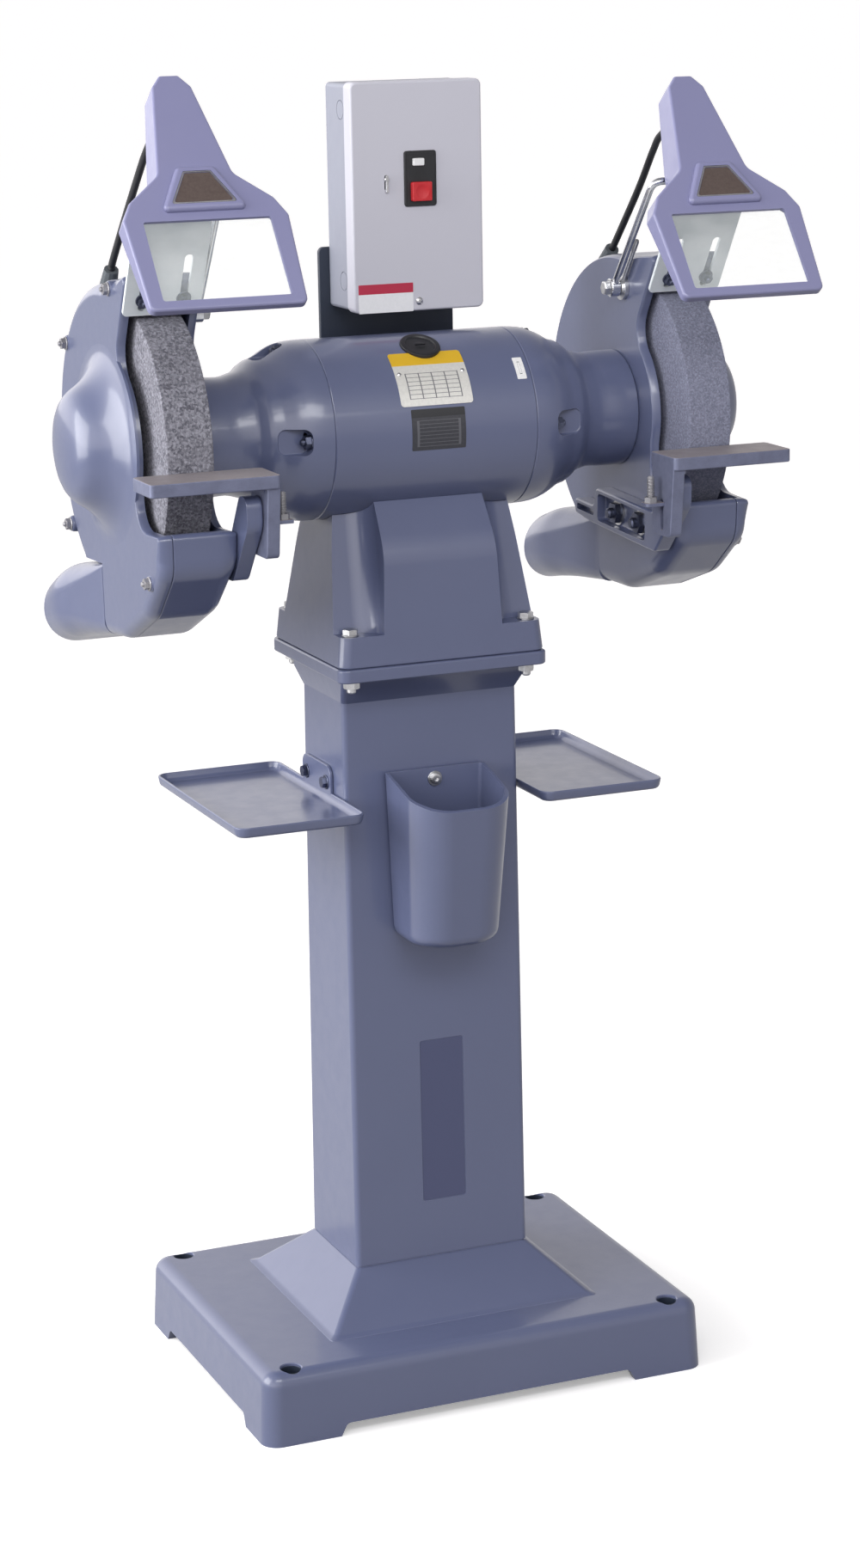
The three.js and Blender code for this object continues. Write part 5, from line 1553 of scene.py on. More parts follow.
@dataclass
class Guard:
    """One wheel guard: housing with its spout, bell-faced cover and the bolts that hold it."""

    side: Side
    inner: float = 254.5
    seam: float = 325.0
    outer: float = 340.0
    wall: float = 9.5
    rim: float = 9.0
    back: float = 169.0
    turn: float = 2.6
    mouth_angle: float = 60.0
    mouth_offset: float = 4.4
    mouth_top: float = 207.6
    mouth_radius: float = 98.0
    mouth_bend: float = 34.0
    wall_from: float = 158.0
    lip: tuple[float, float] = (-165.0, -80.0)
    cover_round: float = 14.0
    spout_from: float = 36.0
    spout_end: float = 192.0
    spout_top: float = -130.0
    spout_wall: float = 7.0
    sections: tuple[tuple[float, ...], ...] = (
        (36.0, 42.75, -207.5, -130.0, 14.0, 4.0), (70.0, 48.75, -212.5, -134.0, 20.0, 14.0),
        (113.0, 57.0, -219.0, -138.0, 28.0, 26.0), (150.0, 65.0, -226.0, -144.0, 34.0, 34.0),
        (192.0, 65.0, -236.0, -158.0, 38.0, 38.0))
    bolts: tuple[tuple[float, float], ...] = ((121.5, 100.2), (-39.8, 164.9), (140.8, -97.8),
                                              (-129.2, -132.2))

    @property
    def swung(self) -> Matrix:
        """Where the guard's own axes lie: about the shaft, turned a little."""
        return AT_SHAFT @ Matrix.Rotation(self.side.value * math.radians(self.turn), 4, "X")

    def at_mouth(self, out: float, behind: float) -> tuple[float, float]:
        """A point given by its distance out along the mouth and behind the mouth's line."""
        angle = math.radians(self.mouth_angle)
        return (-out * math.cos(angle) + behind * math.sin(angle),
                out * math.sin(angle) + behind * math.cos(angle))

    def face(self) -> tuple[Ring, list[float]]:
        """The guard's outline in (y, z) and how much of the edge rounding each point takes."""
        corners: list[tuple[float, float, float, float]] = [
            (*self.at_mouth(self.mouth_top, self.mouth_offset), 8, 0.3), (-60, 177.2, 0, 0.8)]
        corners += [(*point, 1.0) for point in arc((0, 0), self.back, 93, -51, 60)]
        corners += [(self.spout_from + 1, -207.5, 0, 1), (-24, -204.5, 60, 1), (-108, -171.5, 60, 1),
                    (self.lip[0] + 1, -122, 34, 0.8), (*self.lip, 6, 0.2), (-95, self.lip[1], 30, 0.2)]
        bend = self.mouth_bend
        reach = math.sqrt((self.mouth_radius + bend) ** 2 - (bend - self.mouth_offset) ** 2)
        past = math.degrees(math.atan2(bend - self.mouth_offset, reach))
        join = 180 - self.mouth_angle + past
        corners += [(*point, 0.2) for point in arc((0, 0), self.mouth_radius, 195, join, 22)]
        middle = self.at_mouth(reach, self.mouth_offset - bend)
        corners += [(*point, 0.2) for point in arc(middle, bend, join - 180, 90 - self.mouth_angle, 12)[1:]]
        steps = 9
        shares = [share for *_, radius, share in corners for _ in range(1 if radius == 0 else steps + 1)]
        return outline([corner[:3] for corner in corners], steps), shares

    def hollow(self) -> Ring:
        """The inside of the guard in (y, z), run out past its open front."""
        behind = self.mouth_offset + self.rim
        return outline([
            *arc((0, 0), self.back - self.rim, 93, -48, 56), (92, self.spout_top - 7),
            (self.spout_from + 1, -207.5 + self.rim), (-17, -202 + self.rim, 52),
            (self.lip[0] + 2 + self.rim, -121, 18), (self.lip[0] + self.rim, self.lip[1]),
            (self.lip[0] + self.rim, self.lip[1] + 20), (self.lip[0] - 5, 90),
            self.at_mouth(self.wall_from, -40), self.at_mouth(self.wall_from, behind),
            (*self.at_mouth(self.mouth_top - 18, behind), 4)], 8)

    def spout(self, wall: float, start: float, stop: float) -> Solid:
        """The flared exhaust spout, moved inward by a wall.

        Args:
            wall: How far inside the outer skin.
            start: Where it starts behind the shaft.
            stop: Where it ends.

        Returns:
            A skin through the sections (y, half width, bottom, top, lower and upper corner radius).
        """
        centre = self.side.value * (self.inner + self.outer) / 2
        levels = []
        for y, half, bottom, top, low, high in flowing(self.sections, 9):
            left, right = centre - half + wall, centre + half - wall
            low, high = max(low - wall * 0.7, 2.0), max(high - wall * 0.7, 2.0)
            bottom, top = bottom + wall, top - wall
            levels.append((y, outline([(left, bottom, low), (right, bottom, low), (right, top, high),
                                       (left, top, high)], 12)))
        return layered(Axis.Y, [(start, levels[0][1]), *levels[1:-1], (stop, levels[-1][1])])

    def housing(self) -> Solid:
        """Motor-side wall, rim and spout, hollowed."""
        sign = self.side.value
        ring, _ = self.face()
        seam = sign * (self.seam - 0.3)
        belly = [min(1.0, 0.2 + 0.8 * max(0.0, min((-95 - z) / 50, (60 - y) / 30))) for y, z in ring]
        body = layered(Axis.X, edge(ring, sign * self.inner, 20.0, sign, 9, belly) + [
            (seam - sign * 1.4, ring), (seam - sign * 0.4, inset(ring, 0.35)), (seam, inset(ring, 1.0))])
        hollow = prism(Axis.X, self.hollow(), sign * (self.inner + self.wall), sign * (self.seam + 0.4))
        bore = cylinder(Axis.X, sign * (self.inner - 1), sign * (self.inner + self.wall + 1), 26, segments=96)
        body = body.join(self.spout(0, self.spout_from - 4, self.spout_end))
        return body.cut(hollow, self.spout(self.spout_wall, self.spout_from - 8, self.spout_end + 1), bore)

    def dome(self) -> list[tuple[float, float]]:
        """Section of the bell over the spindle nut: (height above the cover, radius)."""
        return [(-3, 106), (0.02, 106), (0.5, 99), (1.6, 94), (3.6, 89), (6.4, 84), (10.2, 79), (14.6, 74),
                (20.0, 69), (26.2, 64.5), (32.4, 60.5), (37.6, 56), (41.6, 51), (44.6, 45), (46.9, 37.5),
                (48.6, 28), (49.6, 17), (50, 7), (50, 0)]

    def cover(self) -> Solid:
        """Edge-rounded plate with the bell in its middle and a boss under each bolt."""
        sign = self.side.value
        ring, shares = self.face()
        rim = edge(ring, sign * self.outer, self.cover_round, -sign, 9, shares)
        foot = sign * self.seam
        slab = layered(Axis.X, rim + [(foot + sign * 0.9, ring), (foot + sign * 0.25, inset(ring, 0.3)),
                                      (foot, inset(ring, 0.9))])
        seam, outer = self.seam, self.outer
        bell = turned(Axis.X, outward(sign, [(outer - 3, 0.0)] + [
            (outer + height, radius) for height, radius in self.dome()]), segments=144)
        room = turned(Axis.X, outward(sign, [
            (seam - 1, 0.0), (seam - 1, 92.0), (333, 90.0), (344, 66.0), (366, 50.0), (379, 36.0),
            (382, 20.0), (382, 0.0)]), segments=72)
        pan = prism(Axis.X, self.hollow(), sign * (seam - 1), sign * (outer - self.wall))
        low, high = sorted((sign * (seam - 1), sign * (outer + 1)))
        notch = block((low, self.spout_from - 0.3, -260), (high, 200, self.spout_top + 0.3))
        bosses = [turned(Axis.X, outward(sign, [
            (seam + 2, 0), (seam + 2, 9.6), (outer - 1, 8.8), (outer + 0.6, 8.0), (outer + 1, 7.0),
            (outer + 1, 0)]), (0, y, z), 40) for y, z in self.bolts]
        return slab.cut(pan).join(bell, *bosses).cut(room, notch)

    def build(self, shop: Workshop) -> None:
        """Make the housing, the cover and its bolts."""
        label, sign = self.side.label, self.side.value
        seam, out = sorted((sign * (self.seam - 0.3), sign * (self.outer + 30)))
        corner = block((seam, -300, -300), (out, self.spout_from - 0.1, 300))
        shop.piece(f"{label}_guard_casting", self.housing().eased(0.8, 2, 50).cut(corner), "paint",
                   replaces=[f"{label}_guard_housing"], place=self.swung, angle=40)
        shop.piece(f"{label}_cover_casting", self.cover().eased(0.8, 2, 50), "paint",
                   replaces=[f"{label}_guard_cover"], place=self.swung, angle=40)
        points = [(sign * (self.outer + 1.1), y, z) for y, z in self.bolts]
        heads = shop.scatter.at(points, [(sign, 0, 0)] * len(points), bolt_head(6.2, 4.6, 7.4, 2.6),
                                shop.finishes["dull_steel"], seed=11 + sign)
        shop.piece(f"{label}_cover_bolts", heads, "dull_steel", place=self.swung)


@dataclass
class SparkPlate:
    """Slotted steel plate on the guard's mouth, held by two bolts."""

    guard: Guard
    width: float = 84.0
    thickness: float = 4.0
    start: float = 159.0
    length: float = 110.0
    slot_at: float = 22.0
    slot: tuple[float, float] = (9.0, 65.0)
    bolt_at: float = 178.0

    def build(self, shop: Workshop) -> None:
        """Make the plate and its bolts."""
        guard = self.guard
        label = guard.side.label
        centre = guard.side.value * (guard.inner + guard.outer) / 2
        front = guard.mouth_offset - 0.3 - self.thickness
        mouth = guard.swung @ Matrix.Rotation(math.radians(90 - guard.mouth_angle), 4, "X")
        blank = rectangle(centre, self.start + self.length / 2, self.width / 2, self.length / 2, 5, 8)
        sheet = rounded(Axis.Y, blank, front, front + self.thickness, 0.5, 0.5, 3)
        wide, long = self.slot
        middle = self.start + 6 + long / 2
        slots = [prism(Axis.Y, rectangle(centre + way * self.slot_at, middle, wide / 2, long / 2,
                                         wide / 2, 10), front - 2, front + self.thickness + 2)
                 for way in (-1, 1)]
        shop.piece(f"{label}_spark_sheet", sheet.cut(*slots), "spark_steel",
                   f"{label}_spark_plate", [f"{label}_spark_plate"], mouth)
        points = [(centre + way * self.slot_at, front - 0.1, self.bolt_at) for way in (-1, 1)]
        heads = shop.scatter.at(points, [(0, -1, 0)] * 2, bolt_head(6.6, 5.0, 8.0, 3.4),
                                shop.finishes["dark_bolt"], seed=21)
        shop.piece(f"{label}_spark_bolts", heads, "dark_bolt", place=mouth)


@dataclass
class RestGear:
    """Tool rest on its leg, with the slotted bracket that carries it."""

    guard: Guard
    top: float
    start: float = 222.0
    stop: float = 362.0
    thickness: float = 14.0
    front: float = -215.0
    back: float = -155.5
    leg: float = 14.0
    drop: float = 88.0
    leg_front: float = -203.0
    leg_back: float = -160.0

    def bracket(self) -> Solid:
        """Channel along the guard's wall with a thick pad at its front."""
        sign = self.guard.side.value
        face, near = self.guard.inner - 0.3, 236.3
        bar = outline([
            (62, -130, 5), (62, -113, 5), (14, -113, 6), (8, -92, 8), (-138, -92, 12), (-172, -44, 10),
            (-194, -44, 12), (-194, -76, 24), (-142, -136, 12), (20, -134, 10)], 9)
        body = rounded(Axis.X, bar, sign * near, sign * face, 2.6, 0, 6)
        trough = rounded(Axis.X, rectangle(-58, -113, 60, 15.5, 5, 7), sign * (near - 1),
                         sign * (near + 11), 0, 2.0, 4)
        slot = prism(Axis.X, rectangle(34, -121.5, 22, 3.4, 3.3, 8), sign * (near - 1), sign * (near + 9))
        return body.cut(trough, slot)

    def rest(self) -> Solid:
        """Level plate with its leg and the leg's slot."""
        sign = self.guard.side.value
        bottom = self.top - self.thickness
        table = rounded(Axis.Z, rectangle(sign * (self.start + self.stop) / 2, (self.front + self.back) / 2,
                                          (self.stop - self.start) / 2, (self.back - self.front) / 2, 5, 6),
                        bottom, self.top, 1.5, 1.2, 4)
        low = self.top - self.drop
        leg = rounded(Axis.X, outline([(self.front + 3, bottom + 4), (self.leg_back, bottom + 4),
                                       (self.leg_back, low, 7), (self.leg_front, low, 7)], 6),
                      sign * self.start, sign * (self.start + self.leg), 1.2, 1.2, 4)
        slot_at = (self.leg_front + self.leg_back) / 2 - 2
        slot = rounded(Axis.X, rectangle(slot_at, low + 23, 3.4, 17, 3.3, 8), sign * (self.start - 1),
                       sign * (self.start + 4), 0, 0.6, 3)
        inside, reach = sign * (self.start + self.leg - 1), sign * (self.start + self.leg + 7)
        web = outline([(inside, bottom + 1), (reach, bottom + 1),
                       *arc((reach, bottom - 7), 7, 90, 180 if sign > 0 else 0, 6), (inside, bottom - 7)])
        fillet = prism(Axis.Y, web, self.leg_front + 1, self.leg_back - 1)
        return table.join(leg, fillet).cut(slot)

    def build(self, shop: Workshop) -> None:
        """Make the bracket with its two bolts, the rest, and the rest's bolt and spring."""
        guard = self.guard
        label, sign = guard.side.label, guard.side.value
        shop.piece(f"{label}_bracket_bar", self.bracket().eased(0.5, 2, 50), "paint",
                   replaces=[f"{label}_rest_bracket"], place=guard.swung, angle=40)
        floor = 247.2
        points = [(sign * floor, y, -113.5) for y in (-90.0, -32.0)]
        heads = shop.scatter.at(points, [(-sign, 0, 0)] * 2, bolt_head(12.2, 9.0, 0.0, 6.0),
                                shop.finishes["dark_bolt"], seed=31)
        rings = gathered([tube(Axis.X, sign * floor, sign * (floor - 2.2), 14.2, 6.0, (0, y, z), 40)
                          for _, y, z in points])
        shop.piece(f"{label}_bracket_washers", rings, "bolt", place=guard.swung)
        shop.piece(f"{label}_bracket_bolts", heads, "dark_bolt", place=guard.swung)
        shop.piece(f"{label}_tool_rest", self.rest(), "rest_steel", f"{label}_rest",
                   [f"{label}_rest"], angle=50)
        self.build_stud(shop)

    def build_stud(self, shop: Workshop) -> None:
        """Make the upright set screw with its nut and its wound thread, on a lug beside the leg."""
        label, sign = self.guard.side.label, self.guard.side.value
        stem = turned(Axis.Z, [(0, 0), (0, 3.4), (27, 3.4), (28.4, 2.4), (28.4, 0)], segments=24)
        thread = shop.coil.wound(11.0, 3.5, 0.7, 20.0, shop.finishes["bolt"])
        thread.placed(Matrix.Translation((0, 0, 7)))
        nut = bolt_head(7.4, 6.0)
        foot = self.top - self.thickness - 37.0
        spot = Matrix.Translation((sign * (self.start - 12.0), (self.leg_front + self.leg_back) / 2, foot))
        shop.piece(f"{label}_rest_stud", gathered([stem, thread, nut]).placed(spot), "dull_steel",
                   f"{label}_rest")
        low, high = sorted((sign * (self.start - 21.0), sign * (self.start + 1.0)))
        ring = outline([(low, self.leg_front + 13, 4), (high, self.leg_front + 13),
                        (high, self.leg_back - 13), (low, self.leg_back - 13, 4)], 6)
        shop.piece(f"{label}_rest_lug", rounded(Axis.Z, ring, foot - 4.0, foot, 0.6, 0.6, 3), "rest_steel",
                   f"{label}_rest")


# ---------------------------------------------------------------- lamps


@dataclass
class Lamp:
    """One work lamp: hood with its window, bulb, arm, clamp and cable."""

    side: Side
    at: tuple[float, float, float]
    route: tuple[tuple[float, float], ...]
    tilt: float = 37.7
    rod: float = 4.0
    rod_x: float = 242.0
    rod_v: float = 117.0
    rod_w: float = 46.0
    pivot: tuple[float, float] = (-25.0, 1213.0)
    cable_x: float = 297.0
    cable: float = 4.0
    wall: float = 3.5
    guard_face: float = 254.2

    @property
    def stood(self) -> Matrix:
        """Where the lamp's own axes lie: u across, w behind the window, v up the hood."""
        x, y, z = self.at
        lean = Matrix.Rotation(-math.radians(self.tilt), 4, "X")
        return Matrix.Translation((self.side.value * x, y, z)) @ lean

    def front(self) -> list[Corner]:
        """Corners of the hood seen from its front."""
        half = [(82, -56, 7), (87, 48, 8), (76, 69, 10), (40, 100, 14), (21, 205, 6), (10, 219, 4)]
        return [(-82, -56, 7)] + half + [(-u, v, r) for u, v, r in half[:0:-1]]

    def shell(self) -> Solid:
        """Outer skin: the front outline cut by the side outline."""
        body = rounded(Axis.Y, outline(self.front(), 6), 0, 60, 2.8, 0, 6)
        side = outline([(-1, -57), (9, -57), (20, 48, 12), (40, 95, 14), (40, 121, 20), (31, 205, 8),
                        (22, 220), (-1, 220)], 8)
        nose = rounded(Axis.Y, outline([(-46, 55, 5), (46, 55, 5), (20, 106, 7), (-20, 106, 7)], 7), -6,
                       self.wall + 1, 4.5, 0, 8)
        return body.meet(prism(Axis.X, side, -100, 100)).join(nose)

    def room(self) -> Solid:
        """The hollow behind the window."""
        wall = self.wall
        sharp = inset([corner[:2] for corner in self.front()], wall + 0.5)
        radii = [max(corner[2] - wall, 1.0) for corner in self.front()]
        ring = outline([(*point, radius) for point, radius in zip(sharp, radii)], 5)
        cavity = prism(Axis.Y, ring, wall, 70)
        side = outline([(wall, -56), (70, -56), (70, 48), (41, 91), (36.5, 95), (36.5, 121, 16),
                        (27.5, 202, 4), (18.5, 212.5), (wall, 212.5)], 6)
        return cavity.meet(prism(Axis.X, side, -100, 100))

    def hood(self) -> Solid:
        """The hood with its window, nose recess and the boss for its arm."""
        sign = self.side.value
        window = prism(Axis.Y, rectangle(0, 0, 67, 45.8, 3, 6), -8, self.wall + 1)
        place = outline(self.nose_corners(0.0), 6)
        recess = prism(Axis.Y, place, -10, -4.6)
        boss = turned(Axis.X, [(-sign * 27, 0), (-sign * 27, 7.6), (-sign * 26.2, 8.5), (sign * 14, 8.5),
                               (sign * 14, 0)], (0, self.rod_w, self.rod_v), 40)
        hole = cylinder(Axis.X, -sign * 28, sign * 8, self.rod + 0.3, (0, self.rod_w, self.rod_v), 32)
        return self.shell().cut(self.room(), window, recess).join(boss).cut(hole)

    @staticmethod
    def nose_corners(shrink: float) -> list[Corner]:
        """Corners of the nose's small trapezoid place, moved inward."""
        sharp = inset([(-35.0, 61.5), (35.0, 61.5), (14.5, 99.5), (-14.5, 99.5)], shrink)
        return [(*point, 2.0) for point in sharp]

    def arm_route(self) -> list[Vector]:
        """The rod's line from its hub up to the elbow and across into the hood."""
        sign = self.side.value
        elbow = self.stood @ Vector((0, self.rod_w, self.rod_v))
        foot = Vector((sign * self.rod_x, self.pivot[0], self.pivot[1]))
        bend = Vector((sign * self.rod_x, elbow.y, elbow.z))
        away = (foot - bend).normalized()
        line = eased_bend(bend + away * 12, bend, bend + Vector((sign * 12, 0, 0)), 12)
        return [foot - away * 7.0, *line, Vector((sign * (self.at[0] + 6), elbow.y, elbow.z))]

    def build_hood(self, shop: Workshop) -> None:
        """Make the hood, the glass, the bare place on the nose and the bulb."""
        label = self.side.label
        head = f"{label}_lamp_head"
        shop.piece(f"{label}_hood_shell", self.hood(), "lamp_paint", head,
                   [f"{label}_lamp_hood"], self.stood, 30)
        pane = rounded(Axis.Y, rectangle(0, 0, 69, 47.8, 3, 6), self.wall + 0.3, self.wall + 2.3, 0.3, 0.3, 2)
        shop.piece(f"{label}_window_pane", pane, "glass", head, [f"{label}_lamp_glass"],
                   self.stood)
        badge = rounded(Axis.Y, outline(self.nose_corners(2.2), 6), -5.2, -4.65, 0.2, 0, 3)
        shop.piece(f"{label}_nose_place", mapped(badge, Axis.X, Axis.Z), "nose_place", head,
                   place=self.stood)
        rim = rounded(Axis.Y, outline(self.nose_corners(0.4), 6), -5.9, -4.65, 0.4, 0, 3)
        rim.cut(prism(Axis.Y, outline(self.nose_corners(1.7), 6), -8, -4))
        shop.piece(f"{label}_nose_rim", rim, "dull_steel", head, place=self.stood)
        bulb = turned(Axis.Z, [(106, 0), (106.6, 3.4), (108, 6.4), (110.6, 8.8), (114, 10.1), (118, 10.5),
                               (174, 10.5), (177, 9.9), (179.4, 8.9), (180.6, 8.2), (180.6, 0)],
                      (0, 15, 0), 64)
        shop.piece(f"{label}_bulb_glass", bulb, "bulb", head, [f"{label}_lamp_bulb"],
                   self.stood)
        ribs = [(180.7, 0), (180.7, 8.0)]
        for turn in range(6):
            base = 182 + turn * 2.4
            ribs += [(base, 8.4), (base + 0.8, 8.0), (base + 1.6, 7.6)]
        socket = turned(Axis.Z, ribs + [(198, 8.4), (202, 8.4), (202, 0)], (0, 15, 0), 48)
        shop.piece(f"{label}_bulb_cap", socket, "bolt", head, place=self.stood)

    def build_arm(self, shop: Workshop) -> None:
        """Make the rod with its hub, and the clamp with its lever."""
        label, sign = self.side.label, self.side.value
        rod = shop.sweep.along(self.arm_route(), self.rod, shop.finishes["chrome"], 24)
        at = (0, *self.pivot)
        low, high = sorted((sign * (self.rod_x - 5.5), sign * (self.rod_x + 5.5)))
        hub = turned(Axis.X, [(low, 4.3), (low, 9.0), (low + 0.9, 10), (high - 0.9, 10), (high, 9.0),
                              (high, 4.3)], at, 48)
        shop.piece(f"{label}_arm_rod", gathered([rod, hub]), "chrome", f"{label}_lamp_arm",
                   [f"{label}_lamp_arm"])
        face = self.guard_face
        out = self.rod_x + 5.8
        near = self.rod_x - 5.8
        disc = turned(Axis.X, outward(sign, [(out, 0), (out, 9.5), (out + 1, 10.5), (out + 2.4, 14),
                                             (face, 14), (face, 0)]), at, 48)
        pin = cylinder(Axis.X, sign * (near - 2), sign * (out + 1), 4, at, 32)
        knob = turned(Axis.X, outward(sign, [(near, 0), (near, 8), (near - 5.6, 8), (near - 7, 6.4),
                                             (near - 7, 0)]), at, 6)
        lever_x = sign * (self.rod_x + 9.0)
        tip = Vector((lever_x, self.pivot[0] - 41, self.pivot[1] + 54))
        foot = Vector((lever_x, *self.pivot))
        lever = shop.sweep.along([foot, foot.lerp(tip, 0.5), tip], 2.4, shop.finishes["bolt"], 20)
        grip = turned(Axis.Z, [(0, 0), (0, 2.4), (2, 2.9), (14, 2.9), (16.4, 2.0), (17.0, 0)], segments=24)
        way = (tip - foot).to_track_quat("Z", "Y").to_matrix().to_4x4()
        grip.placed(Matrix.Translation(tip - (tip - foot).normalized() * 16) @ way)
        shop.piece(f"{label}_arm_clamp", gathered([disc, pin, knob, lever, grip]), "bolt",
                   replaces=[f"{label}_lamp_clamp"])

    def build_cable(self, shop: Workshop) -> None:
        """Make the supply cable in two lengths, fixed in place on no body."""
        label = self.side.label
        line = flowing([(self.side.value * self.cable_x, y, z) for y, z in self.route])
        half = len(line) // 2
        arm, head = f"{label}_lamp_arm", f"{label}_lamp_head"
        pieces = (("lower", line[:half + 1], "stand", arm), ("upper", line[half:], arm, head))
        for part, route, first, second in pieces:
            sheath = shop.sweep.along(route, self.cable, shop.finishes["rubber"], 16)
            made = shop.piece(f"{label}_cable_{part}", sheath, "rubber", "",
                              [f"{label}_lamp_cable"] if part == "lower" else [])
            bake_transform(made)

    def build(self, shop: Workshop) -> None:
        """Make the lamp."""
        self.build_hood(shop)
        self.build_arm(shop)
        self.build_cable(shop)


# ---------------------------------------------------------------- starter


@dataclass
class Starter:
    """Sheet-metal starter box with a wrap-around cover on its bracket behind the motor."""

    left: float = -44.0
    right: float = 109.0
    front: float = 27.0
    back: float = 105.0
    bottom: float = 1195.0
    top: float = 1442.0
    sheet: float = 1.6
    corner: float = 7.0
    lid_depth: float = 20.0
    plate: tuple[float, float, float, float] = (16.5, 54.0, 1308.0, 1367.5)
    start_key: tuple[float, float, float, float] = (32.5, 1355.5, 6.5, 4.0)
    stop_key: tuple[float, float, float, float] = (35.0, 1324.0, 11.4, 10.2)
    mount: tuple[float, float, float, float] = (-54.0, 105.0, 838.0, 1262.0)
    mount_at: tuple[float, float] = (105.3, 111.3)

    def ring(self, grow: float, radius: float, steps: int = 8) -> Ring:
        """The box's outline from the front, grown by a distance."""
        half_x, half_z = (self.right - self.left) / 2, (self.top - self.bottom) / 2
        return rectangle((self.left + self.right) / 2, (self.bottom + self.top) / 2,
                         half_x + grow, half_z + grow, radius, steps)

    def build_bracket(self, shop: Workshop) -> None:
        """Make the upright sheet that carries the box."""
        left, right, low, high = self.mount
        ring = outline([(left, low, 6), (right, low, 6), (right, high, 6), (left, high, 6)], 8)
        front, back = self.mount_at
        sheet = rounded(Axis.Y, ring, front, back, 0.8, 0.8, 3)
        slots = [prism(Axis.Y, rectangle(x, z, 3.2, 9.0, 3.1, 8), front - 1, back + 1) for x in (-30, 80)
                 for z in (1020.0, 1236.0)]
        shop.piece("starter_mount", sheet.cut(*slots), "bracket_paint",
                   replaces=["starter_bracket"])

    def build_box(self, shop: Workshop) -> None:
        """Make the box with its knockouts, and the cover with its key openings and latch slot."""
        inner_front = self.front + self.sheet + 0.3
        body = rounded(Axis.Y, self.ring(-1.9, self.corner - 1.9), inner_front, self.back, 0, 1.0, 3)
        room = prism(Axis.Y, self.ring(-3.9, 4.0), inner_front - 1, self.back - 2)
        box = body.cut(room)
        rings = [tube(Axis.X, self.left + 1.4, self.left + 3.0, 10.4, 9.7, (0, y, z), 56)
                 for y, z in ((62.0, 1412.0), (62.0, 1228.0))]
        tops = [tube(Axis.Z, self.top - 3.0, self.top - 1.4, 10.4, 9.7, (x, 64.0, 0), 56)
                for x in (0.0, 62.0)]
        # The case's sides take the darker copy of the lid's enamel, which paints their shade.
        shop.piece("starter_case", box.cut(*rings, *tops), "shaded_case_paint",
                   replaces=["starter_box"])
        rim = self.front + self.lid_depth
        cover = rounded(Axis.Y, self.ring(0, self.corner), self.front, rim, 2.6, 0.3, 6)
        hollow = rounded(Axis.Y, self.ring(-self.sheet, self.corner - self.sheet), self.front + self.sheet,
                         rim + 1, 1.0, 0, 3)
        keys = [prism(Axis.Y, rectangle(x, z, half_x + 0.3, half_z + 0.3, 1.5, 5),
                      self.front - 5, self.front + 10)
                for x, z, half_x, half_z in (self.start_key, self.stop_key)]
        latch = prism(Axis.Y, rectangle(-4.0, 1334.5, 2.2, 8.2, 2.1, 8), self.front - 2, self.front + 4)
        shop.piece("starter_lid", cover.cut(hollow, *keys, latch), "box_paint",
                   replaces=["starter_cover"])

    def build_controls(self, shop: Workshop) -> None:
        """Make the button plate, both keys, the latch, the screw and the bare label."""
        left, right, low, high = self.plate
        ring = rectangle((left + right) / 2, (low + high) / 2, (right - left) / 2, (high - low) / 2, 3, 8)
        face = self.front - 0.3
        plate = rounded(Axis.Y, ring, face - 2, face, 0.9, 0, 4)
        wells = [rounded(Axis.Y, rectangle(x, z, half_x + 0.3, half_z + 0.3, 1.5, 5), face + 1, face - 5)
                 for x, z, half_x, half_z in (self.start_key, self.stop_key)]
        groove = prism(Axis.Y, inset(ring, 2.0), face - 3, face - 1.6).cut(
            prism(Axis.Y, inset(ring, 2.8), face - 4, face))
        shop.piece("button_surround", plate.cut(*wells, groove), "black",
                   replaces=["button_plate"])
        for name, (x, z, half_x, half_z), proud, finish in (
                ("start", self.start_key, 3.0, "white"), ("stop", self.stop_key, 6.0, "red")):
            top = face - 2 - proud
            key = rounded(Axis.Y, rectangle(x, z, half_x, half_z, 1.4, 6), top, self.front + 8, 0.9, 0.3, 5)
            if name == "stop":
                key.cut(turned(Axis.Y, [
                    (top - 22, 0), (top - 22, 20), (top - 11, 19.5), (top - 3.4, 13.5), (top + 0.3, 7.5),
                    (top + 0.9, 3.5), (top + 1, 0)], (x, 0, z), 48))
            shop.piece(f"{name}_key", key, finish, f"{name}_button", [f"{name}_button"])
        hasp = turned(Axis.Y, [(self.front - 3.4, 0), (self.front - 3.4, 1.9), (self.front - 2.6, 2.6),
                               (self.front + 4.0, 2.6), (self.front + 4.0, 0)], (-4.0, 0, 1338.0), 32)
        wing = rounded(Axis.Y, rectangle(-4.0, 1333.0, 1.5, 9.4, 1.4, 6),
                       self.front - 3.2, self.front - 0.4, 0.5, 0.2, 3)
        shop.piece("lid_latch", gathered([hasp, wing]), "bolt")
        screw = turned(Axis.Z, [(0, 0), (0, 4.2), (0.7, 4.1), (1.7, 3.0), (2.1, 1.4), (2.2, 0)], segments=32)
        screw.cut(block((-3.4, -0.45, 1.2), (3.4, 0.45, 3)))
        spots = [(32.0, self.front - 0.05, 1205.6)]
        heads = shop.scatter.at(spots, [(0, -1, 0)], screw, shop.finishes["bolt"])
        shop.piece("lid_screw", heads, "bolt")
        label = rounded(Axis.Y, rectangle(-7.0, 1210.5, 32.0, 15.5, 0.8, 4),
                        self.front - 0.35, self.front - 0.02, 0.1, 0, 2)
        shop.piece("lid_label", mapped(label, Axis.X, Axis.Z), "box_label")

    def build(self, shop: Workshop) -> None:
        """Make the starter."""
        self.build_bracket(shop)
        self.build_box(shop)
        self.build_controls(shop)
        shop.dress("contactor", "black")


# ---------------------------------------------------------------- column fittings


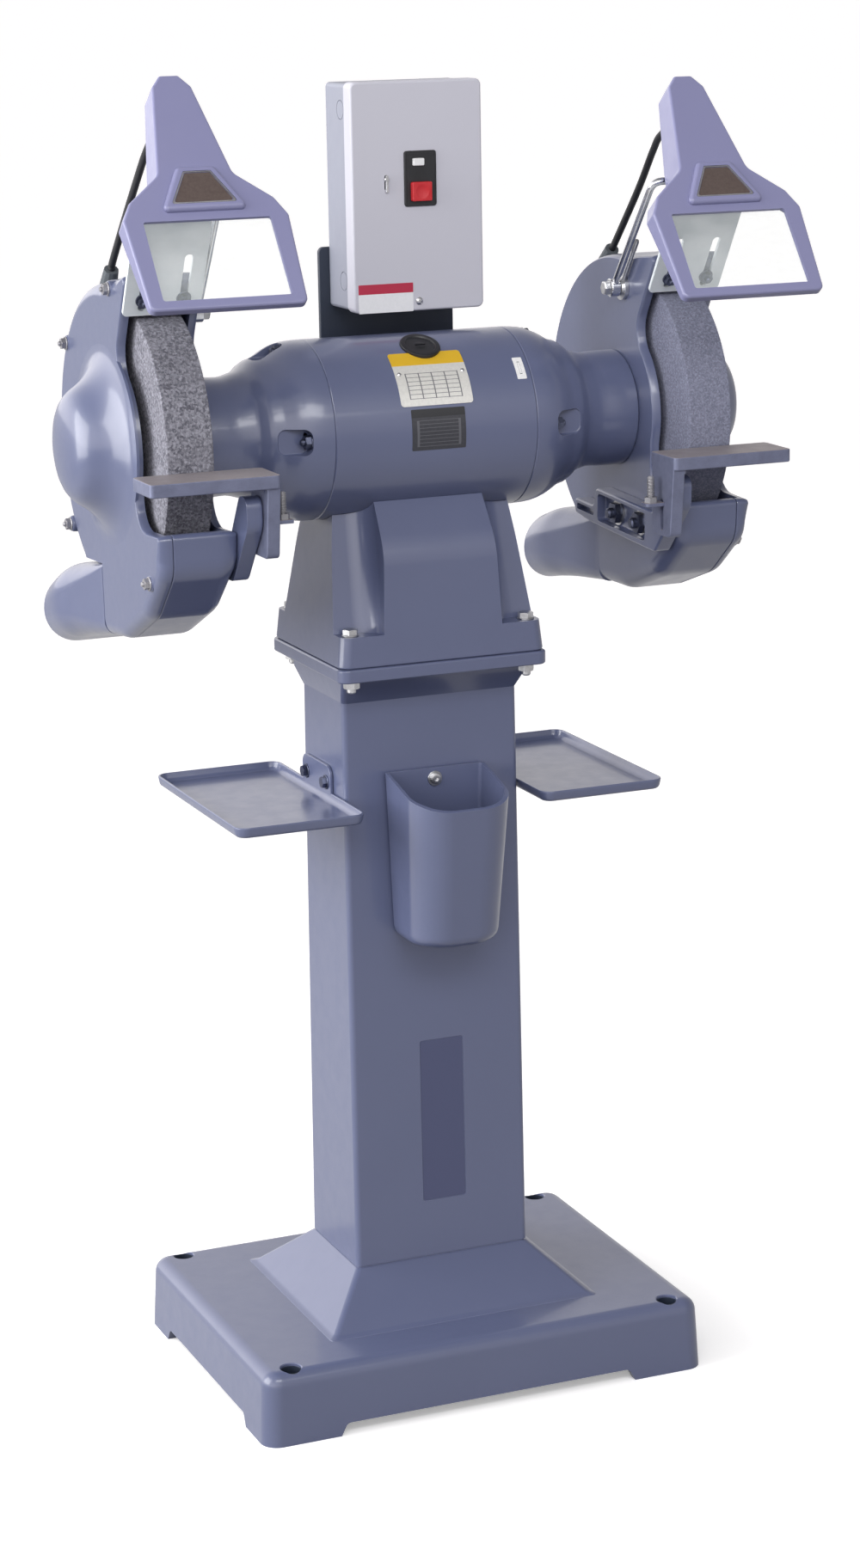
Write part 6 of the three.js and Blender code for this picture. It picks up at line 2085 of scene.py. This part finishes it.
@dataclass
class Tray:
    """Shallow pressed tray with an upright tab bolted to the column."""

    side: Side
    start: float = 104.0
    stop: float = 252.0
    front: float = -131.0
    back: float = 147.0
    rim: float = 678.5
    depth: float = 12.0
    wall: float = 2.5
    corner: float = 14.0
    tab: tuple[float, float, float, float] = (14.5, 43.0, 708.0, 3.2)

    def level(self, z: float, shrink: float) -> tuple[float, Ring]:
        """The pan's outline at a height."""
        return z, rectangle(self.side.value * (self.start + self.stop) / 2, (self.front + self.back) / 2,
                            (self.stop - self.start) / 2 - shrink, (self.back - self.front) / 2 - shrink,
                            max(self.corner - shrink, 2.0), 10)

    def build(self, shop: Workshop) -> None:
        """Make the pan with its rolled rim, the tab and its bolts."""
        sign, label = self.side.value, self.side.label
        low = self.rim - self.depth
        wall = self.wall
        outer = layered(Axis.Z, [self.level(low, 5.4), self.level(low + 0.5, 3.8), self.level(low + 1.7, 2.4),
                                 self.level(low + 4, 1.2), self.level(self.rim - 2.2, 0.1),
                                 self.level(self.rim - 0.8, 0.0), self.level(self.rim - 0.2, 0.5),
                                 self.level(self.rim, 1.1)])
        inner = layered(Axis.Z, [self.level(low + wall, 9.5), self.level(low + wall + 0.8, 7.2),
                                 self.level(low + wall + 2.6, 5.0), self.level(low + wall + 5, 3.8),
                                 self.level(self.rim - 1.2, wall + 0.4),
                                 self.level(self.rim - 0.3, wall - 0.1),
                                 self.level(self.rim + 0.4, wall - 0.9)])
        middle, half, top, thick = self.tab
        tab = rounded(Axis.X, outline([(middle - half, low + 6), (middle + half, low + 6),
                                       (middle + half, top, 12), (middle - half, top, 12)], 10),
                      sign * self.start, sign * (self.start + thick), 0.4, 0.6, 3)
        shop.piece(f"{label}_tray_pan", outer.cut(inner).join(tab), "paint",
                   replaces=[f"{label}_tray"], angle=46)
        points = [(sign * (self.start + thick + 0.05), middle + way * 30, 689.0) for way in (-1, 1)]
        heads = shop.scatter.at(points, [(sign, 0, 0)] * 2, bolt_head(6.4, 4.8, 8.2),
                                shop.finishes["dark_bolt"], seed=5)
        shop.piece(f"{label}_tray_bolts", heads, "dark_bolt")


@dataclass
class WaterPot:
    """Tapered pot with a flat back on the column and a rim that falls to the front."""

    foot: tuple[float, float] = (52.0, -147.0)
    brim: tuple[float, float] = (59.0, -172.0)
    back: float = -65.4
    bottom: float = 519.0
    top: float = 712.0
    wall: float = 3.5
    centre: float = 1.0
    rim_back: float = 705.0
    rim_front: float = 674.0

    def level(self, z: float, share: float, wall: float) -> tuple[float, Ring]:
        """The pot's outline at a height, moved inward by a wall."""
        half = self.foot[0] + (self.brim[0] - self.foot[0]) * share - wall
        front = self.foot[1] + (self.brim[1] - self.foot[1]) * share + wall
        back = self.back - wall
        radius = 38 + 2 * share
        return z, outline([(self.centre - half, back, 4), (self.centre + half, back, 4),
                           (self.centre + half, front, radius), (self.centre - half, front, radius)], 12)

    def shape(self, inside: float, low: float, high: float) -> Solid:
        """The pot's bulk between two heights, moved inward by a wall and rounded at its foot."""
        return layered(Axis.Z, [
            self.level(low, 0, inside + 9), self.level(low + 1.2, 0.002, inside + 5.4),
            self.level(low + 4, 0.01, inside + 2.6), self.level(low + 8, 0.03, inside + 0.8),
            self.level(low + 13, 0.05, inside), self.level(high, 1, inside)])

    def build(self, shop: Workshop) -> None:
        """Make the pot with its rounded rim and the screw in its back."""
        wall = self.wall
        front = self.brim[1]
        rim = prism(Axis.X, outline([
            (self.back + 1, self.rim_back), (self.back + 1, self.top + 20), (front - 20, self.top + 20),
            (front - 20, self.rim_front - 5), (front + 22, self.rim_front + 11, 30),
            (self.back - 6, self.rim_back, 3)], 10), -100, 100)
        room = self.shape(wall, self.bottom + wall, self.top + 1)
        body = self.shape(0, self.bottom, self.top).cut(room, rim)
        shop.piece("water_pot_casting", body.eased(0.9, 3, 48), "paint",
                   replaces=["water_pot"], angle=40)
        screw = bolt_head(5.6, 4.2, 8.4, sides=24)
        screw.cut(prism(Axis.Z, circle(2.9, 6), 2.6, 8))
        heads = shop.scatter.at([(0.5, self.back - wall - 0.05, 693.0)], [(0, -1, 0)], screw,
                                shop.finishes["bolt"])
        shop.piece("pot_screw", heads, "bolt")


# ---------------------------------------------------------------- studio


@dataclass
class Studio:
    """Pale floor, even white surroundings, soft lights and the camera."""

    eye: tuple[float, float, float] = (-1409.69, -3457.39, 1597.39)
    yaw: float = 22.512
    pitch: float = -13.939
    roll: float = -1.0265
    lens: float = 78.88
    bright_way: tuple[float, float, float] = (-1.0, 0.05, 0.0)

    def camera(self) -> None:
        """Stand the camera where the machine is seen from its front left."""
        yaw, pitch, roll = (math.radians(value) for value in (self.yaw, self.pitch, self.roll))
        ahead = Vector((math.sin(yaw) * math.cos(pitch), math.cos(yaw) * math.cos(pitch), math.sin(pitch)))
        right = Vector((math.cos(yaw), -math.sin(yaw), 0.0))
        above = right.cross(ahead)
        x = right * math.cos(roll) + above * math.sin(roll)
        y = above * math.cos(roll) - right * math.sin(roll)
        data = bpy.data.cameras.new("camera")
        data.lens = self.lens
        data.sensor_width = 36.0
        data.clip_start, data.clip_end = 0.05, 200.0
        made = bpy.data.objects.new("camera", data)
        bpy.context.scene.collection.objects.link(made)
        turn = Matrix((x, y, -ahead)).transposed().to_4x4()
        made.matrix_world = Matrix.Translation(IN_FRAME @ Vector(self.eye)) @ turn
        bpy.context.scene.camera = made

    def floor(self) -> None:
        """Lay the plain pale floor."""
        mesh = bpy.data.meshes.new("floor")
        mesh.from_pydata([(x * 90, y * 90, 0) for x, y in CORNERS], [], [(0, 1, 2, 3)])
        made = bpy.data.objects.new("floor", mesh)
        bpy.context.scene.collection.objects.link(made)
        graph = Graph("pale_floor")
        path = graph.tree.nodes.new("ShaderNodeLightPath").outputs
        mirrored = graph.node("Math", {0: path["Is Glossy Ray"], 1: 0.5}, operation="MULTIPLY")
        seen = graph.node("Math", {0: path["Is Camera Ray"], 1: mirrored}, operation="MAXIMUM")
        glow = graph.node("Math", {0: seen, 1: 0.3}, operation="MULTIPLY")
        tone = graph.mix(seen, shade(0x62626a), shade(0xfafafa))
        mesh.materials.append(graph.finish(Base_Color=tone, Roughness=0.9, Specular_IOR_Level=0.0,
                                           Emission_Color=shade(0xffffff), Emission_Strength=glow))

    def world(self) -> None:
        """White all round for the eye; for the light, brighter at the back and left than at the front."""
        world = bpy.data.worlds.new("studio")
        world.use_nodes = True
        tree = world.node_tree
        tree.nodes.clear()
        add, link = tree.nodes.new, tree.links.new
        way = add("ShaderNodeTexCoord").outputs["Generated"]

        def spread(ahead: Sequence[float], near: float, far: float, low: float, high: float
                   ) -> bpy.types.NodeSocket:
            """A strength that runs from low to high along a direction."""
            lean, span = add("ShaderNodeVectorMath"), add("ShaderNodeMapRange")
            lean.operation = "DOT_PRODUCT"
            lean.inputs[1].default_value = Vector(ahead).normalized()
            span.interpolation_type = "SMOOTHSTEP"
            for key, value in (("From Min", near), ("From Max", far), ("To Min", low), ("To Max", high)):
                span.inputs[key].default_value = value
            link(way, lean.inputs[0])
            link(lean.outputs["Value"], span.inputs["Value"])
            return span.outputs["Result"]

        both = add("ShaderNodeMath")
        both.operation = "MULTIPLY"
        link(spread(self.bright_way, -0.9, 0.9, 0.55, 2.3), both.inputs[0])
        link(spread((0, 0, 1), 0.2, 0.95, 1.0, 0.26), both.inputs[1])
        light, seen = add("ShaderNodeBackground"), add("ShaderNodeBackground")
        output = add("ShaderNodeOutputWorld")
        light.inputs["Color"].default_value = (1.0, 0.975, 0.98, 1.0)
        link(both.outputs[0], light.inputs["Strength"])
        seen.inputs["Color"].default_value = (1.0, 1.0, 1.0, 1.0)
        seen.inputs["Strength"].default_value = 1.0
        path, mix = add("ShaderNodeLightPath"), add("ShaderNodeMixShader")
        link(path.outputs["Is Camera Ray"], mix.inputs[0])
        link(light.outputs[0], mix.inputs[1])
        link(seen.outputs[0], mix.inputs[2])
        link(mix.outputs[0], output.inputs[0])
        bpy.context.scene.world = world

    def lamp(self, name: str, at: Sequence[float], aim: Sequence[float], size: tuple[float, float],
             power: float) -> None:
        """A soft box.

        Args:
            name: Its name.
            at: Where it hangs, in metres.
            aim: What it faces, in metres.
            size: Its width and height in metres.
            power: Its power in watts.
        """
        data = bpy.data.lights.new(name, "AREA")
        data.shape = "RECTANGLE"
        data.size, data.size_y = size
        data.energy = power
        made = bpy.data.objects.new(name, data)
        bpy.context.scene.collection.objects.link(made)
        way = (Vector(aim) - Vector(at)).to_track_quat("-Z", "Y").to_matrix().to_4x4()
        made.matrix_world = Matrix.Translation(at) @ way

    def build(self) -> None:
        """Set the scene round the machine."""
        bpy.context.scene.view_settings.view_transform = "Standard"
        self.camera()
        self.floor()
        self.world()
        self.lamp("left_box", (-2.8, 0.3, 1.6), (0.0, 0.0, 1.15), (2.4, 2.2), 84.0)
        self.lamp("front_box", (-0.5, -2.2, 2.5), (0.0, 0.0, 1.1), (2.0, 0.7), 26.0)
        self.lamp("edge_strip", (-0.3, -2.4, 2.2), (0.0, 0.0, 0.3), (2.6, 0.16), 4.5)


# ---------------------------------------------------------------- all of it


LAMPS = (
    Lamp(Side.LEFT, (287.0, -227.0, 1288.0),
         ((92, 1252), (85, 1262), (38.6, 1308), (-8, 1352), (-41.7, 1382), (-70, 1400), (-91, 1404.5))),
    Lamp(Side.RIGHT, (290.4, -231.5, 1269.5),
         ((92, 1244), (80, 1256), (23, 1316), (-12, 1358), (-31, 1376), (-66, 1388), (-95, 1386))),
)
REST_TOPS = {Side.LEFT: 1066.0, Side.RIGHT: 1050.0}


def main() -> None:
    """Build the studio and every sub-assembly in order."""
    logging.basicConfig(level=logging.INFO, format="%(message)s")
    Studio().build()
    shop = Workshop()
    Pedestal().build(shop)
    BaseHousing().build(shop)
    Motor().build(shop)
    Rotor().build(shop)
    for side in Side:
        guard = Guard(side)
        guard.build(shop)
        SparkPlate(guard).build(shop)
        RestGear(guard, REST_TOPS[side]).build(shop)
        Tray(side).build(shop)
    WaterPot().build(shop)
    Starter().build(shop)
    for lamp in LAMPS:
        lamp.build(shop)
    LOG.info("%d pieces made", len(shop.pieces))


if __name__ == "__main__":
    main()
